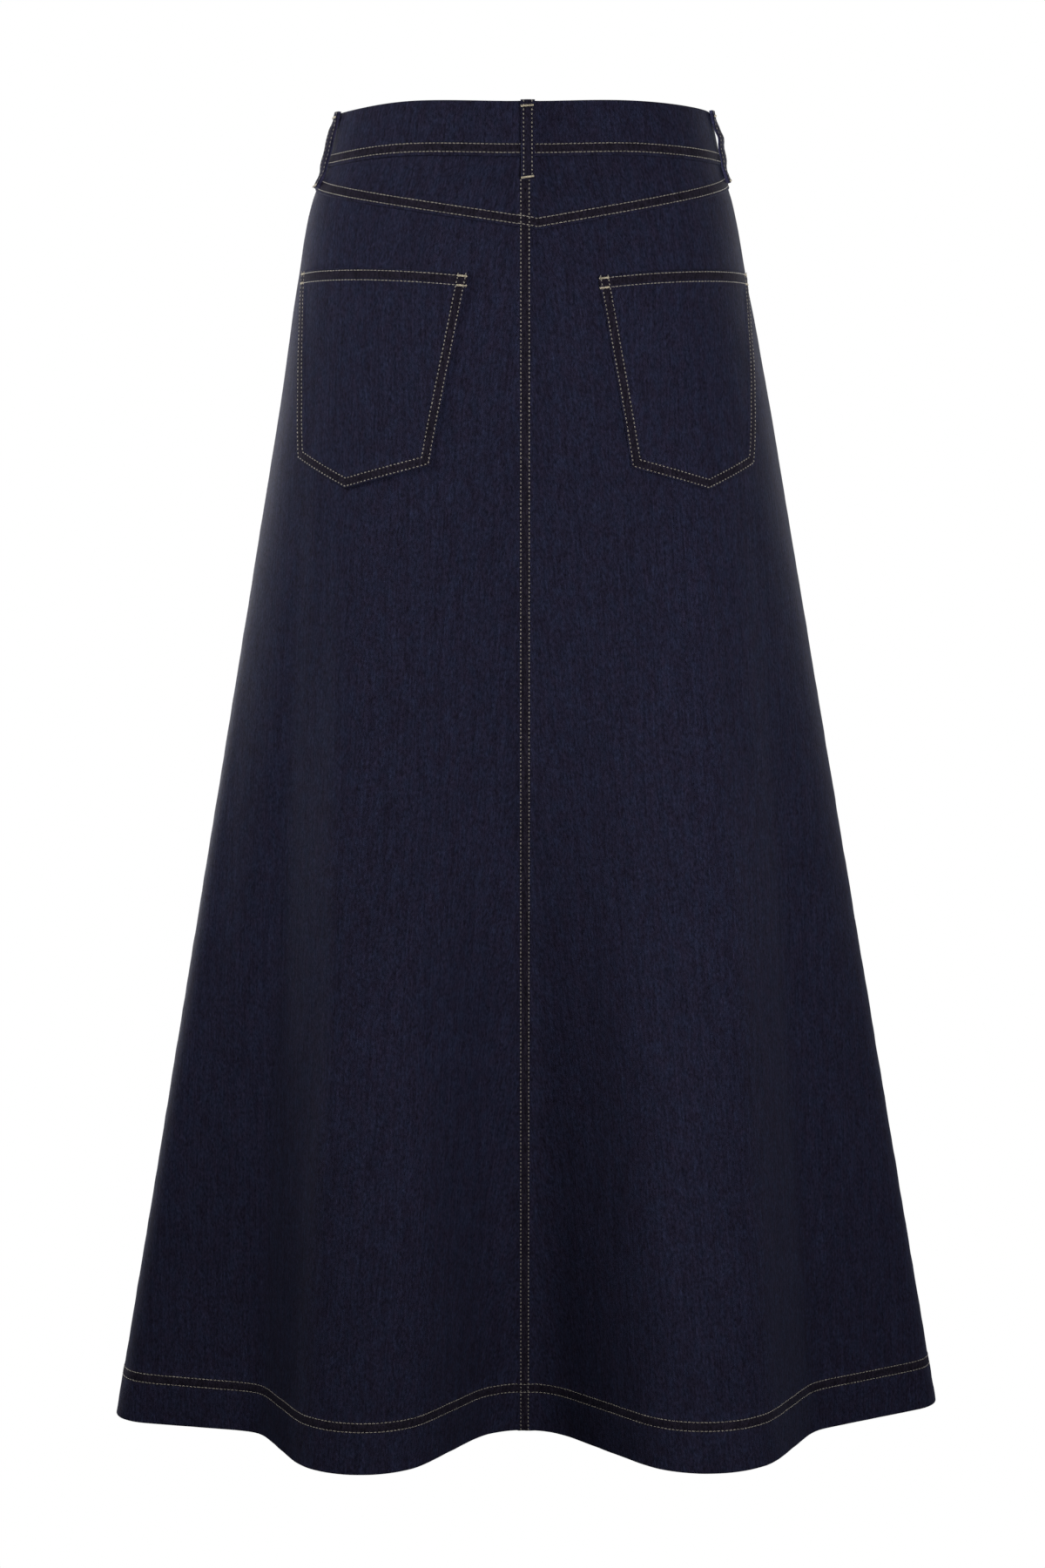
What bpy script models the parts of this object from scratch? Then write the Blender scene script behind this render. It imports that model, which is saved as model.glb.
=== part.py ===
"""Long A-line denim skirt, as worn on a general figure: the cut pieces as solids.

The cloth follows one surface, skirt_point(turn, height).  A turn runs round the skirt:
0 is the centre back seam, 1 the wearer's right side seam, 2 the centre front and 3 the
left side seam.  From the waist to the hips the surface goes through the oval sections in
SECTIONS, and from there it falls straight to a folded hem, the taut line round the
curves in HEM_FOLDS.

Frame: metres, +Z up, -Y the wearer's back, +X the wearer's right.  The origin is the
middle of the waist opening, at half the height of the waistband.
"""
import math

import bmesh
import bpy
import numpy as np
from mathutils import Matrix, Vector

# Driving dimensions -----------------------------------------------------------------
SEAM_GAP = 0.0003            # between two pieces of cloth that are sewn together
CLOTH = 0.0015               # wall of the single denim panels
HEM_CLOTH = 0.0026           # wall where the hem is turned up inside
HEM_DEPTH = 0.038            # depth of the turned hem
BAND_HEIGHT = 0.0389
BAND_CLOTH = 0.0026
BAND_LIFT = 0.0012           # the band's outer face, proud of the panels
YOKE_LIFT = 0.0006
POCKET_CLOTH = 0.0012
LOOP_WIDTH = 0.010
LOOP_CLOTH = 0.0014
LOOP_FOLD = 0.0013           # more cloth at a loop's ends, which are folded under
LOOP_FOLDED = (0.004, 0.014)  # it thins out between these distances from its ends
LOOP_SEWN = (0.10, 0.26, 0.70, 0.88)  # shares where it starts and stops rising and falling
LOOP_CREST = 0.39            # the share where it stands furthest off
CREST_REACH = 0.09
BUTTON_RADIUS = 0.0085
BUTTON_FROM_EDGE = 0.013     # the button's centre, from the centre front

WAIST_EDGE = BAND_HEIGHT / 2
BAND_SEAM = -BAND_HEIGHT / 2
HIP_HEIGHT = -0.202
HEM_HEIGHT = -0.960

# The oval sections, each in metres.
#   section       height      half width  back depth  front depth  middle
SECTIONS = (
    ("waist edge", WAIST_EDGE, 0.1358,     0.096,      0.096,      -0.0007),
    ("band seam",  BAND_SEAM,  0.1452,     0.103,      0.102,      -0.0010),
    ("yoke side",  -0.047,     0.1554,     0.110,      0.106,      -0.0022),
    ("high hip",   -0.111,     0.1677,     0.122,      0.112,      -0.0020),
    ("hip",        HIP_HEIGHT, 0.1836,     0.132,      0.119,       0.0000),
    ("hem",        HEM_HEIGHT, 0.3130,     0.152,      0.152,       0.0022),
)

# The band keeps its height, and the whole of it rises and falls a little round the waist.
#   place          turn   rise
BAND_RISES = (
    ("centre back",  0.00, -0.0006),
    ("right back",   0.40,  0.0011),
    ("right side",   1.05, -0.0028),
    ("centre front", 2.00, -0.0035),
    ("left side",    3.10, -0.0038),
    ("left back",    3.58,  0.0010),
)

# The lower edge of each half of the yoke falls straight from the side to the centre back.
#   half      panel  back     side
YOKE_EDGES = (
    ("right", 0,    -0.0735, -0.0360),
    ("left",  3,    -0.0706, -0.0376),
)

# The hem line is drawn taut round these curves in plan, folds outside and hollows inside.
#   curve                 x        y        radius
HEM_FOLDS = (
    ("centre back hollow",  -0.0008, -0.131, -0.042),
    ("right back fold",      0.1312, -0.132,  0.060),
    ("right back hollow",    0.2372, -0.108, -0.026),
    ("right side fold",      0.2892, -0.012,  0.028),
    ("right front hollow",   0.2442,  0.098, -0.030),
    ("right front fold",     0.1392,  0.132,  0.054),
    ("centre front hollow",  0.0052,  0.150, -0.046),
    ("left front fold",     -0.1298,  0.138,  0.050),
    ("left front hollow",   -0.2348,  0.100, -0.028),
    ("left side fold",      -0.2838, -0.044,  0.028),
    ("left back hollow",    -0.2138, -0.113, -0.022),
    ("left back fold",      -0.1188, -0.140,  0.055),
)
FOLD_GROWTH = 1.15           # folds die out upwards: 1 is a straight line from hip to hem
HEM_SOFTENING = 0.018        # reach over which the hem line's curves run into each other

# The patch pockets, in the cloth, each corner as the distance across from the centre back
# seam and the height.
#   pocket         panel  mouth inner         mouth outer         bottom outer
#                         point               bottom inner
POCKETS = (
    ("pocket_left",  3,   (0.0405, -0.1040),  (0.1990, -0.1005),  (0.1860, -0.2358),
                          (0.1355, -0.2564),  (0.0688, -0.2391)),
    ("pocket_right", 0,   (0.0520, -0.1055),  (0.2060, -0.1010),  (0.1875, -0.2400),
                          (0.1387, -0.2574),  (0.0770, -0.2408)),
)
POCKET_ARCH = 0.0032         # how far the middle of a pocket's mouth arches up
POCKET_MERGE = 0.0002        # a pocket's edge runs through a panel's line this near it

# Belt loops, by the turn at which each is sewn, its length, how far it stands off the
# cloth where it is free, with no belt, and how much further at its crest.
#   loop                      turn   length  stand   crest
BELT_LOOPS = (
    ("belt_loop_back",        0.009, 0.0566, 0.0005, 0.0004),
    ("belt_loop_side_right",  0.925, 0.0524, 0.0005, 0.0020),
    ("belt_loop_front_right", 1.550, 0.0540, 0.0007, 0.0005),
    ("belt_loop_front_left",  2.450, 0.0545, 0.0009, 0.0006),
    ("belt_loop_side_left",   3.110, 0.0555, 0.0005, 0.0004),
)

# Mesh steps
RING_STEPS = 240             # samples in a quarter of a ring
LEVEL_STEP = 0.006           # between the rings of the surface
PANEL_COLUMNS = 36           # faces across a panel
PANEL_HEIGHTS = (-0.085, -0.115, -0.155, -0.202, -0.260, -0.340, -0.430, -0.530, -0.640, -0.740, -0.830)
HEM_STEP = 0.001             # height over which the wall thickens to the turned hem

DENIM = (0.0125, 0.0125, 0.0270)
LIGHTER_DENIM = (0.0150, 0.0160, 0.0320)
METAL = (0.48, 0.44, 0.37)


# The surface ------------------------------------------------------------------------
def between(start, stop, share):
    return start + (stop - start) * share


def smooth_column(heights, values, at):
    """A smooth curve through the sections' values, straight from the hip to the hem."""
    order = np.argsort(heights)
    knots = np.array(heights)[order]
    steps = np.array(values)[order]
    rise = np.diff(steps) / np.diff(knots)
    slope = np.concatenate(([rise[0]], (rise[:-1] + rise[1:]) / 2, [rise[-1]]))
    slope[1] = rise[0]
    span = np.clip(np.searchsorted(knots, at) - 1, 0, len(knots) - 2)
    width = knots[span + 1] - knots[span]
    t = (at - knots[span]) / width
    return (steps[span] * (1 + 2 * t) * (1 - t) ** 2 + steps[span + 1] * t * t * (3 - 2 * t)
            + slope[span] * width * t * (1 - t) ** 2 - slope[span + 1] * width * t * t * (1 - t))


def even_quarters(path, starts):
    """A closed path in plan, cut at four starts, each quarter in RING_STEPS equal steps."""
    quarters = []
    for start, stop in zip(starts, starts[1:] + starts[:1]):
        count = (stop - start) % len(path)
        piece = path[(start + np.arange(count + 1)) % len(path)]
        run = np.concatenate(([0.0], np.cumsum(np.linalg.norm(np.diff(piece, axis=0), axis=1))))
        even = np.linspace(0.0, run[-1], RING_STEPS, endpoint=False)
        quarters.append(np.column_stack([np.interp(even, run, piece[:, axis]) for axis in (0, 1)]))
    return np.vstack(quarters)


def oval_ring(half_width, back_depth, front_depth, middle):
    """An oval with its own depths at the back and front, from the centre back seam."""
    seam = math.acos(-middle / half_width)
    corners = (-seam, 0.0, seam, math.pi, 2 * math.pi - seam)
    angle = np.concatenate([np.linspace(start, stop, RING_STEPS, endpoint=False)
                            for start, stop in zip(corners, corners[1:])])
    depth = np.where(np.sin(angle) < 0, back_depth, front_depth)
    path = np.column_stack((middle + half_width * np.cos(angle), depth * np.sin(angle)))
    return even_quarters(path, [quarter * RING_STEPS for quarter in range(4)])


def taut_line(curves):
    """The line of a belt run round circles in plan: arcs joined by straight runs."""
    centres = np.array([(x, y) for _, x, y, _ in curves])
    radii = np.array([radius for _, _, _, radius in curves])
    leave = []
    for centre, radius, after, after_radius in zip(
            centres, radii, np.roll(centres, -1, axis=0), np.roll(radii, -1)):
        across = after - centre
        bend = math.acos((after_radius - radius) / math.hypot(*across))
        leave.append(math.atan2(across[1], across[0]) + bend)
    points = []
    for index, (centre, radius) in enumerate(zip(centres, radii)):
        turn = (leave[index] - leave[index - 1] + math.pi) % (2 * math.pi) - math.pi
        for angle in leave[index - 1] + np.linspace(0.0, turn, 24):
            points.append(centre - radius * np.array((math.cos(angle), math.sin(angle))))
    return np.array(points)


def hem_ring():
    """The folded hem in plan, softened, from the centre back seam round by the right."""
    corners = taut_line(HEM_FOLDS)
    closed = np.vstack((corners, corners[:1]))
    run = np.concatenate(([0.0], np.cumsum(np.linalg.norm(np.diff(closed, axis=0), axis=1))))
    count = int(run[-1] * 1000)
    even = np.linspace(0.0, run[-1], count, endpoint=False)
    path = np.column_stack([np.interp(even, run, closed[:, axis]) for axis in (0, 1)])
    reach = int(HEM_SOFTENING * 1000)
    weights = np.hanning(2 * reach + 3)[1:-1]
    weights /= weights.sum()
    near = (np.arange(count)[:, None] + np.arange(-reach, reach + 1)[None, :]) % count
    path = (path[near] * weights[None, :, None]).sum(axis=1)
    seam_x = HEM_FOLDS[0][1]
    off_seam = np.abs(path[:, 0] - seam_x)
    centre_back = int(np.argmin(off_seam + (path[:, 1] > 0)))
    centre_front = int(np.argmin(off_seam + (path[:, 1] < 0)))
    sides = (int(np.argmax(path[:, 0])), int(np.argmin(path[:, 0])))
    return even_quarters(path, [centre_back, sides[0], centre_front, sides[1]])


def build_rings():
    """The heights of the surface's rings and their points, from the hem up."""
    top = WAIST_EDGE + LEVEL_STEP
    heights = np.linspace(HEM_HEIGHT, top, int((top - HEM_HEIGHT) / LEVEL_STEP) + 1)
    section_heights = [row[1] for row in SECTIONS]
    columns = [smooth_column(section_heights, [row[column] for row in SECTIONS], heights)
               for column in (2, 3, 4, 5)]
    folds = hem_ring() - oval_ring(*SECTIONS[-1][2:])
    rings = []
    for height, *oval in zip(heights, *columns):
        fall = max(0.0, (HIP_HEIGHT - height) / (HIP_HEIGHT - HEM_HEIGHT))
        rings.append(oval_ring(*oval) + fall ** FOLD_GROWTH * folds)
    return heights, np.array(rings)


LEVELS, RINGS = build_rings()
RING_POINTS = RINGS.shape[1]


def skirt_point(turn, height):
    """The outer face of the cloth at each turn and height."""
    turn, height = np.broadcast_arrays(np.asarray(turn, float), np.asarray(height, float))
    along = (turn % 4.0) * RING_STEPS
    step = np.floor(along).astype(int)
    part = (along - step)[..., None]
    rise = np.clip((height - LEVELS[0]) / (LEVELS[1] - LEVELS[0]), 0.0, len(LEVELS) - 1.001)
    level = np.floor(rise).astype(int)
    up = (rise - level)[..., None]
    plan = 0.0
    for ring, share in ((level, 1 - up), (level + 1, up)):
        plan = plan + share * (RINGS[ring, step % RING_POINTS] * (1 - part)
                               + RINGS[ring, (step + 1) % RING_POINTS] * part)
    return np.concatenate((plan, height[..., None]), axis=-1)


def skirt_normal(turn, height):
    """The outward direction of the surface at each turn and height."""
    step = 1.5 / RING_STEPS
    around = skirt_point(turn + step, height) - skirt_point(turn - step, height)
    low = np.maximum(height - LEVEL_STEP, HEM_HEIGHT)
    upward = skirt_point(turn, low + 2 * LEVEL_STEP) - skirt_point(turn, low)
    normal = np.cross(around, upward)
    return normal / np.linalg.norm(normal, axis=-1, keepdims=True)


def quarter_length(quarter, height):
    """The length of cloth between two seams at a height."""
    turns = quarter + np.linspace(0.0, 1.0, 60)
    return np.linalg.norm(np.diff(skirt_point(turns, height), axis=0), axis=1).sum()


GIRTH_HEIGHTS = np.linspace(HEM_HEIGHT, WAIST_EDGE, 24)
QUARTER_LENGTHS = np.array([[quarter_length(quarter, height) for height in GIRTH_HEIGHTS]
                            for quarter in range(4)])


def turn_at(quarter, across, height):
    """The turn that lies a distance across the cloth from the start of a quarter."""
    return quarter + across / np.interp(height, GIRTH_HEIGHTS, QUARTER_LENGTHS[quarter])


def band_rise(turn):
    """How far the waistband rises or falls, running smoothly from place to place."""
    places = np.array([row[1] for row in BAND_RISES] + [4.0])
    rises = np.array([row[2] for row in (*BAND_RISES, BAND_RISES[0])])
    turn = turn % 4.0
    span = np.searchsorted(places, turn, side="right") - 1
    share = (turn - places[span]) / (places[span + 1] - places[span])
    return between(rises[span], rises[span + 1], share * share * (3 - 2 * share))


def waist_edge(turn):
    """The height of the waistband's top edge."""
    return WAIST_EDGE + band_rise(turn)


def band_seam(turn):
    """The height of the seam below the waistband."""
    return BAND_SEAM + band_rise(turn)


def yoke_edge(quarter, turn):
    """The height of a half yoke's lower edge."""
    at_back, at_side = next(row[2:] for row in YOKE_EDGES if row[1] == quarter)
    from_back = np.abs((turn + 2.0) % 4.0 - 2.0)
    return between(at_back, at_side, from_back)


# The pieces -------------------------------------------------------------------------
def fabric(name, colour, roughness=0.9, metallic=0.0):
    material = bpy.data.materials.new(name)
    material.use_nodes = True
    shader = material.node_tree.nodes["Principled BSDF"]
    shader.inputs["Base Color"].default_value = (*colour, 1.0)
    shader.inputs["Roughness"].default_value = roughness
    shader.inputs["Metallic"].default_value = metallic
    return material


def thicken(bm, place):
    """Make a flat net of faces a closed wall.

    place(x, y) takes the net's own coordinates, and returns the points of the surface
    under it, the outward directions, the outer face's lift and the wall.
    """
    outer = list(bm.verts)
    extruded = bmesh.ops.extrude_face_region(bm, geom=bm.faces[:])["geom"]
    inner = [item for item in extruded if isinstance(item, bmesh.types.BMVert)]
    for vertices, depth in ((outer, 0.0), (inner, 1.0)):
        net = np.array([vertex.co for vertex in vertices])
        points, outward, lift, wall = place(net[:, 0], net[:, 1])
        for vertex, point in zip(vertices, points + (lift - depth * wall)[:, None] * outward):
            vertex.co = point
    bmesh.ops.recalc_face_normals(bm, faces=bm.faces[:])


def cloth_piece(collection, name, columns, rows, place, material):
    """A closed wall of cloth with even columns and rows.

    place(across, down) takes the shares 0 to 1 across and down the piece, and returns
    the turn, the height, the outer face's lift from the surface and the wall.
    """
    def place_net(x, y):
        turn, height, lift, wall = place(x + 0.5, 0.5 - y)
        return skirt_point(turn, height), skirt_normal(turn, height), lift, wall

    bm = bmesh.new()
    bmesh.ops.create_grid(bm, x_segments=columns, y_segments=rows, size=0.5)
    thicken(bm, place_net)
    return add_object(collection, name, bm, material)


def add_object(collection, name, bm, material):
    mesh = bpy.data.meshes.new(name)
    bm.to_mesh(mesh)
    bm.free()
    mesh.materials.append(material)
    mesh.shade_smooth()
    mesh.set_sharp_from_angle(angle=math.radians(35))
    item = bpy.data.objects.new(name, mesh)
    collection.objects.link(item)
    return item


def panel_turn(quarter, share, height):
    """The turn at a share of a panel's width, inside the gaps at its seams."""
    side_gap = turn_at(quarter, SEAM_GAP / 2, height) - quarter
    return quarter + side_gap + share * (1 - 2 * side_gap)


def make_panel(collection, name, quarter, material):
    """One of the four flared panels, from the band or the yoke down to the hem."""
    is_back = quarter in (0, 3)
    hem_top = HEM_HEIGHT + HEM_DEPTH
    rows = np.array((0.0, *PANEL_HEIGHTS, hem_top + HEM_STEP, hem_top, HEM_HEIGHT))

    def place(across, down):
        turn = quarter + across
        top = yoke_edge(quarter, turn) if is_back else band_seam(turn)
        row = np.rint(down * (len(rows) - 1)).astype(int)
        height = np.where(row == 0, top - SEAM_GAP, rows[row])
        wall = np.where(row >= len(rows) - 2, HEM_CLOTH, CLOTH)
        return panel_turn(quarter, across, height), height, np.zeros_like(across), wall

    return cloth_piece(collection, name, PANEL_COLUMNS, len(rows) - 1, place, material)


def make_yoke(collection, name, quarter, material):
    """One half of the back yoke, between the waistband and the back panel."""
    def place(across, down):
        gap = SEAM_GAP / 2 / 0.2
        turn = quarter + between(gap, 1 - gap, across)
        height = between(band_seam(turn) - SEAM_GAP, yoke_edge(quarter, quarter + across), down)
        lift = np.full_like(across, YOKE_LIFT)
        return turn, height, lift, lift + CLOTH

    return cloth_piece(collection, name, 24, 3, place, material)


def make_waistband(collection, material):
    """The waistband, one strip from the centre front round the back and round again."""
    def place(across, down):
        gap = SEAM_GAP / 2 / 0.2
        turn = between(2 + gap, 6 - gap, across)
        height = between(waist_edge(turn), band_seam(turn), down)
        return turn, height, np.full_like(across, BAND_LIFT), np.full_like(across, BAND_CLOTH)

    return cloth_piece(collection, "waistband", 80, 3, place, material)


def panel_net(quarter, across, height):
    """Points and outward directions on a back panel's own flat faces."""
    rows = np.array(PANEL_HEIGHTS)
    share = across / np.interp(height, GIRTH_HEIGHTS, QUARTER_LENGTHS[quarter])
    column = np.floor((share if quarter == 0 else 1 - share) * PANEL_COLUMNS)
    row = np.clip(np.searchsorted(-rows, -height, side="right") - 1, 0, len(rows) - 2)
    down = (rows[row] - height) / (rows[row] - rows[row + 1])
    right = (share if quarter == 0 else 1 - share) * PANEL_COLUMNS - column
    points = 0.0
    outward = 0.0
    for level, level_share in ((row, 1 - down), (row + 1, down)):
        for line, line_share in ((column, 1 - right), (column + 1, right)):
            turn = panel_turn(quarter, line / PANEL_COLUMNS, rows[level])
            weight = (level_share * line_share)[:, None]
            points = points + weight * skirt_point(turn, rows[level])
            outward = outward + weight * skirt_normal(turn, rows[level])
    return points, outward / np.linalg.norm(outward, axis=1, keepdims=True)


def make_pocket(collection, name, quarter, corners, material):
    """A patch pocket, cut from a back panel's own faces and moved out."""
    mouth_in, *lower = (Vector((*corner, 0.0)) for corner in corners)
    arch = []
    for share in (0.2, 0.5, 0.8):
        rise = POCKET_ARCH * (1 - (2 * share - 1) ** 2)
        arch.append(mouth_in.lerp(lower[0], share) + Vector((0.0, rise, 0.0)))
    outline = (mouth_in, *arch, *lower)
    middle = (mouth_in + lower[1]) / 2
    bm = bmesh.new()
    rows = np.array(PANEL_HEIGHTS)
    bmesh.ops.create_grid(bm, x_segments=PANEL_COLUMNS, y_segments=len(rows) - 1, size=0.5)
    for vertex in bm.verts:
        height = rows[round((0.5 - vertex.co.y) * (len(rows) - 1))]
        length = np.interp(height, GIRTH_HEIGHTS, QUARTER_LENGTHS[quarter])
        vertex.co = ((vertex.co.x + 0.5) * length, height, 0.0)
    for start, stop in zip(outline, outline[1:] + outline[:1]):
        side = (stop - start).cross(Vector((0.0, 0.0, 1.0)))
        if side.dot(middle - start) > 0:
            side.negate()
        bmesh.ops.bisect_plane(bm, geom=bm.verts[:] + bm.edges[:] + bm.faces[:], dist=POCKET_MERGE,
                               plane_co=start, plane_no=side, clear_outer=True)
    bmesh.ops.remove_doubles(bm, verts=bm.verts[:], dist=POCKET_MERGE)

    def place(across, height):
        points, outward = panel_net(quarter, across, height)
        wall = np.full_like(across, POCKET_CLOTH)
        return points, outward, wall + SEAM_GAP, wall

    thicken(bm, place)
    return add_object(collection, name, bm, material)


def smoothstep(low, high, value):
    """A smooth rise from 0 at low to 1 at high."""
    share = np.clip((value - low) / (high - low), 0.0, 1.0)
    return share * share * (3 - 2 * share)


def make_belt_loop(collection, name, loop, material):
    """A strip with its ends folded under and sewn down, standing off the waistband between."""
    loop_turn, reach, stand, crest = loop
    rising, risen, falling, fallen = LOOP_SEWN
    quarter = int(loop_turn)

    def place(across, down):
        height = waist_edge(loop_turn) - reach * down
        length = np.interp(height, GIRTH_HEIGHTS, QUARTER_LENGTHS[quarter])
        turn = loop_turn + (across - 0.5) * LOOP_WIDTH / length
        base = np.where(down < 0.8, BAND_LIFT, YOKE_LIFT)
        free = smoothstep(rising, risen, down) * smoothstep(fallen, falling, down)
        clear = free * (stand + crest * np.exp(-((down - LOOP_CREST) / CREST_REACH) ** 2))
        from_end = np.minimum(down, 1 - down) * reach
        wall = LOOP_CLOTH + LOOP_FOLD * smoothstep(LOOP_FOLDED[1], LOOP_FOLDED[0], from_end)
        return turn, height, base + SEAM_GAP + clear + wall, wall

    return cloth_piece(collection, name, 2, 20, place, material)


def make_button(collection, material):
    """A domed shank button on the waistband's outer face, beside the centre front."""
    face = BUTTON_RADIUS
    #   radius        height above the band
    profile = (
        (0.0,           0.0045),
        (0.35 * face,   0.0044),
        (0.70 * face,   0.0040),
        (0.90 * face,   0.0034),
        (face,          0.0026),
        (0.97 * face,   0.0019),
        (0.80 * face,   0.0016),
        (0.42 * face,   0.0014),
        (0.40 * face,   0.0000),
        (0.0,           0.0000),
    )
    bm = bmesh.new()
    points = [bm.verts.new((radius, 0.0, height)) for radius, height in profile]
    for first, second in zip(points, points[1:]):
        bm.edges.new((first, second))
    button = add_object(collection, "button", bm, material)
    turned = button.modifiers.new("turned", "SCREW")
    turned.steps = 32
    turned.render_steps = 32
    turned.use_merge_vertices = True
    turned.merge_threshold = 0.0001
    turned.use_normal_calculate = False
    height = band_rise(2.0)
    turn = turn_at(1, quarter_length(1, height) - BUTTON_FROM_EDGE, height)
    foot = Vector(skirt_point(turn, height))
    outward = Vector(skirt_normal(turn, height))
    upward = Vector((0.0, 0.0, 1.0))
    sideways = upward.cross(outward).normalized()
    upright = outward.cross(sideways).normalized()
    frame = Matrix((sideways, upright, outward)).transposed().to_4x4()
    frame.translation = foot + outward * (BAND_LIFT + SEAM_GAP)
    button.matrix_world = frame
    return button


def main():
    for item in list(bpy.data.objects):
        bpy.data.objects.remove(item, do_unlink=True)
    skirt = bpy.data.collections.new("denim_skirt")
    bpy.context.scene.collection.children.link(skirt)
    panel_denim = fabric("indigo_denim", DENIM)
    trim_denim = fabric("indigo_denim_trim", LIGHTER_DENIM)
    make_waistband(skirt, trim_denim)
    for side_name, quarter in (("right", 0), ("left", 3)):
        make_yoke(skirt, "yoke_" + side_name, quarter, panel_denim)
        make_panel(skirt, "back_panel_" + side_name, quarter, panel_denim)
    for side_name, quarter in (("right", 1), ("left", 2)):
        make_panel(skirt, "front_panel_" + side_name, quarter, panel_denim)
    for name, quarter, *corners in POCKETS:
        make_pocket(skirt, name, quarter, corners, trim_denim)
    for name, *loop in BELT_LOOPS:
        make_belt_loop(skirt, name, loop, trim_denim)
    make_button(skirt, fabric("button_metal", METAL, roughness=0.35, metallic=1.0))


main()
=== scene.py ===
"""Looks for a long A-line denim skirt: fine cloth shells, topstitching and a pale studio.

The cloth follows the surface of the solids, skirt_point(turn, height).  A turn runs round
the skirt: 0 is the centre back seam, 1 the wearer's right side seam, 2 the centre front
and 3 the left side seam.  cloth_relief adds the creases and the puckers along the seams,
and each piece has a lift, the distance of its outer face from that creased surface.

Frame: metres, +Z up, -Y the wearer's back, +X the wearer's right.
"""
import math
from functools import partial

import bmesh
import bpy
import numpy as np
from bpy.props import FloatProperty, FloatVectorProperty, PointerProperty
from bpy.types import Operator, Panel, PropertyGroup
from mathutils import Matrix, Vector


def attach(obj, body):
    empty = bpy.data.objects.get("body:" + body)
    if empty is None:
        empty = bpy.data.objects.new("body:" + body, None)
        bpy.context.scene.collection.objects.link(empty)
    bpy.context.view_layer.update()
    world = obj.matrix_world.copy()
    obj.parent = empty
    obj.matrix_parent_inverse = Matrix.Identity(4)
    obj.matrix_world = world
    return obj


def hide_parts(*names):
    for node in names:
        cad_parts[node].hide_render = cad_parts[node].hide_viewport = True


bl_info = {
    "name": "Denim Skirt",
    "version": (1, 0, 0),
    "blender": (4, 5, 0),
    "location": "3D Viewport > Sidebar > Denim Skirt",
    "description": "Cloth, topstitching and studio for a long denim skirt",
    "category": "Object",
}

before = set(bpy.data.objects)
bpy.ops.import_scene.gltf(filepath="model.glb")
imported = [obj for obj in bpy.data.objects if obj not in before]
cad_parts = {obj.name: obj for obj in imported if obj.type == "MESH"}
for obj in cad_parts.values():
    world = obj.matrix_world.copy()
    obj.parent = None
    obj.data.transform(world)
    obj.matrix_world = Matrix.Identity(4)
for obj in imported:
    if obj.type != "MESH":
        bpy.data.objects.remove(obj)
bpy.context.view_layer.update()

# The solids' own sizes --------------------------------------------------------------
SEAM_GAP = 0.0003
CLOTH = 0.0015
HEM_CLOTH = 0.0026
HEM_DEPTH = 0.038
BAND_HEIGHT = 0.0389
BAND_CLOTH = 0.0026
BAND_LIFT = 0.0012
YOKE_LIFT = 0.0006
POCKET_CLOTH = 0.0012
LOOP_WIDTH = 0.010
LOOP_CLOTH = 0.0014
LOOP_FOLD = 0.0013
LOOP_FOLDED = (0.004, 0.014)
LOOP_SEWN = (0.10, 0.26, 0.70, 0.88)
LOOP_CREST = 0.39
CREST_REACH = 0.09
BUTTON_RADIUS = 0.0085
BUTTON_FROM_EDGE = 0.013
WAIST_EDGE = BAND_HEIGHT / 2
BAND_SEAM = -BAND_HEIGHT / 2
HIP_HEIGHT = -0.202
HEM_HEIGHT = -0.960

#   section       height      half width  back depth  front depth  middle
SECTIONS = (
    ("waist edge", WAIST_EDGE, 0.1358,     0.096,      0.096,      -0.0007),
    ("band seam",  BAND_SEAM,  0.1452,     0.103,      0.102,      -0.0010),
    ("yoke side",  -0.047,     0.1554,     0.110,      0.106,      -0.0022),
    ("high hip",   -0.111,     0.1677,     0.122,      0.112,      -0.0020),
    ("hip",        HIP_HEIGHT, 0.1836,     0.132,      0.119,       0.0000),
    ("hem",        HEM_HEIGHT, 0.3130,     0.152,      0.152,       0.0022),
)

#   place          turn   rise
BAND_RISES = (
    ("centre back",  0.00, -0.0006),
    ("right back",   0.40,  0.0011),
    ("right side",   1.05, -0.0028),
    ("centre front", 2.00, -0.0035),
    ("left side",    3.10, -0.0038),
    ("left back",    3.58,  0.0010),
)

#   half      panel  back     side
YOKE_EDGES = (
    ("right", 0,    -0.0735, -0.0360),
    ("left",  3,    -0.0706, -0.0376),
)

#   curve                 x        y        radius, minus for a hollow
HEM_FOLDS = (
    ("centre back hollow",  -0.0008, -0.131, -0.042),
    ("right back fold",      0.1312, -0.132,  0.060),
    ("right back hollow",    0.2372, -0.108, -0.026),
    ("right side fold",      0.2892, -0.012,  0.028),
    ("right front hollow",   0.2442,  0.098, -0.030),
    ("right front fold",     0.1392,  0.132,  0.054),
    ("centre front hollow",  0.0052,  0.150, -0.046),
    ("left front fold",     -0.1298,  0.138,  0.050),
    ("left front hollow",   -0.2348,  0.100, -0.028),
    ("left side fold",      -0.2838, -0.044,  0.028),
    ("left back hollow",    -0.2138, -0.113, -0.022),
    ("left back fold",      -0.1188, -0.140,  0.055),
)
FOLD_GROWTH = 1.15
HEM_SOFTENING = 0.018
HEM_STEP = 0.001
RING_STEPS = 240
LEVEL_STEP = 0.006

#   pocket         panel  mouth inner         mouth outer         bottom outer
#                         point               bottom inner
POCKETS = (
    ("pocket_left",  3,   (0.0405, -0.1040),  (0.1990, -0.1005),  (0.1860, -0.2358),
                          (0.1355, -0.2564),  (0.0688, -0.2391)),
    ("pocket_right", 0,   (0.0520, -0.1055),  (0.2060, -0.1010),  (0.1875, -0.2400),
                          (0.1387, -0.2574),  (0.0770, -0.2408)),
)
POCKET_ARCH = 0.0032

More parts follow.
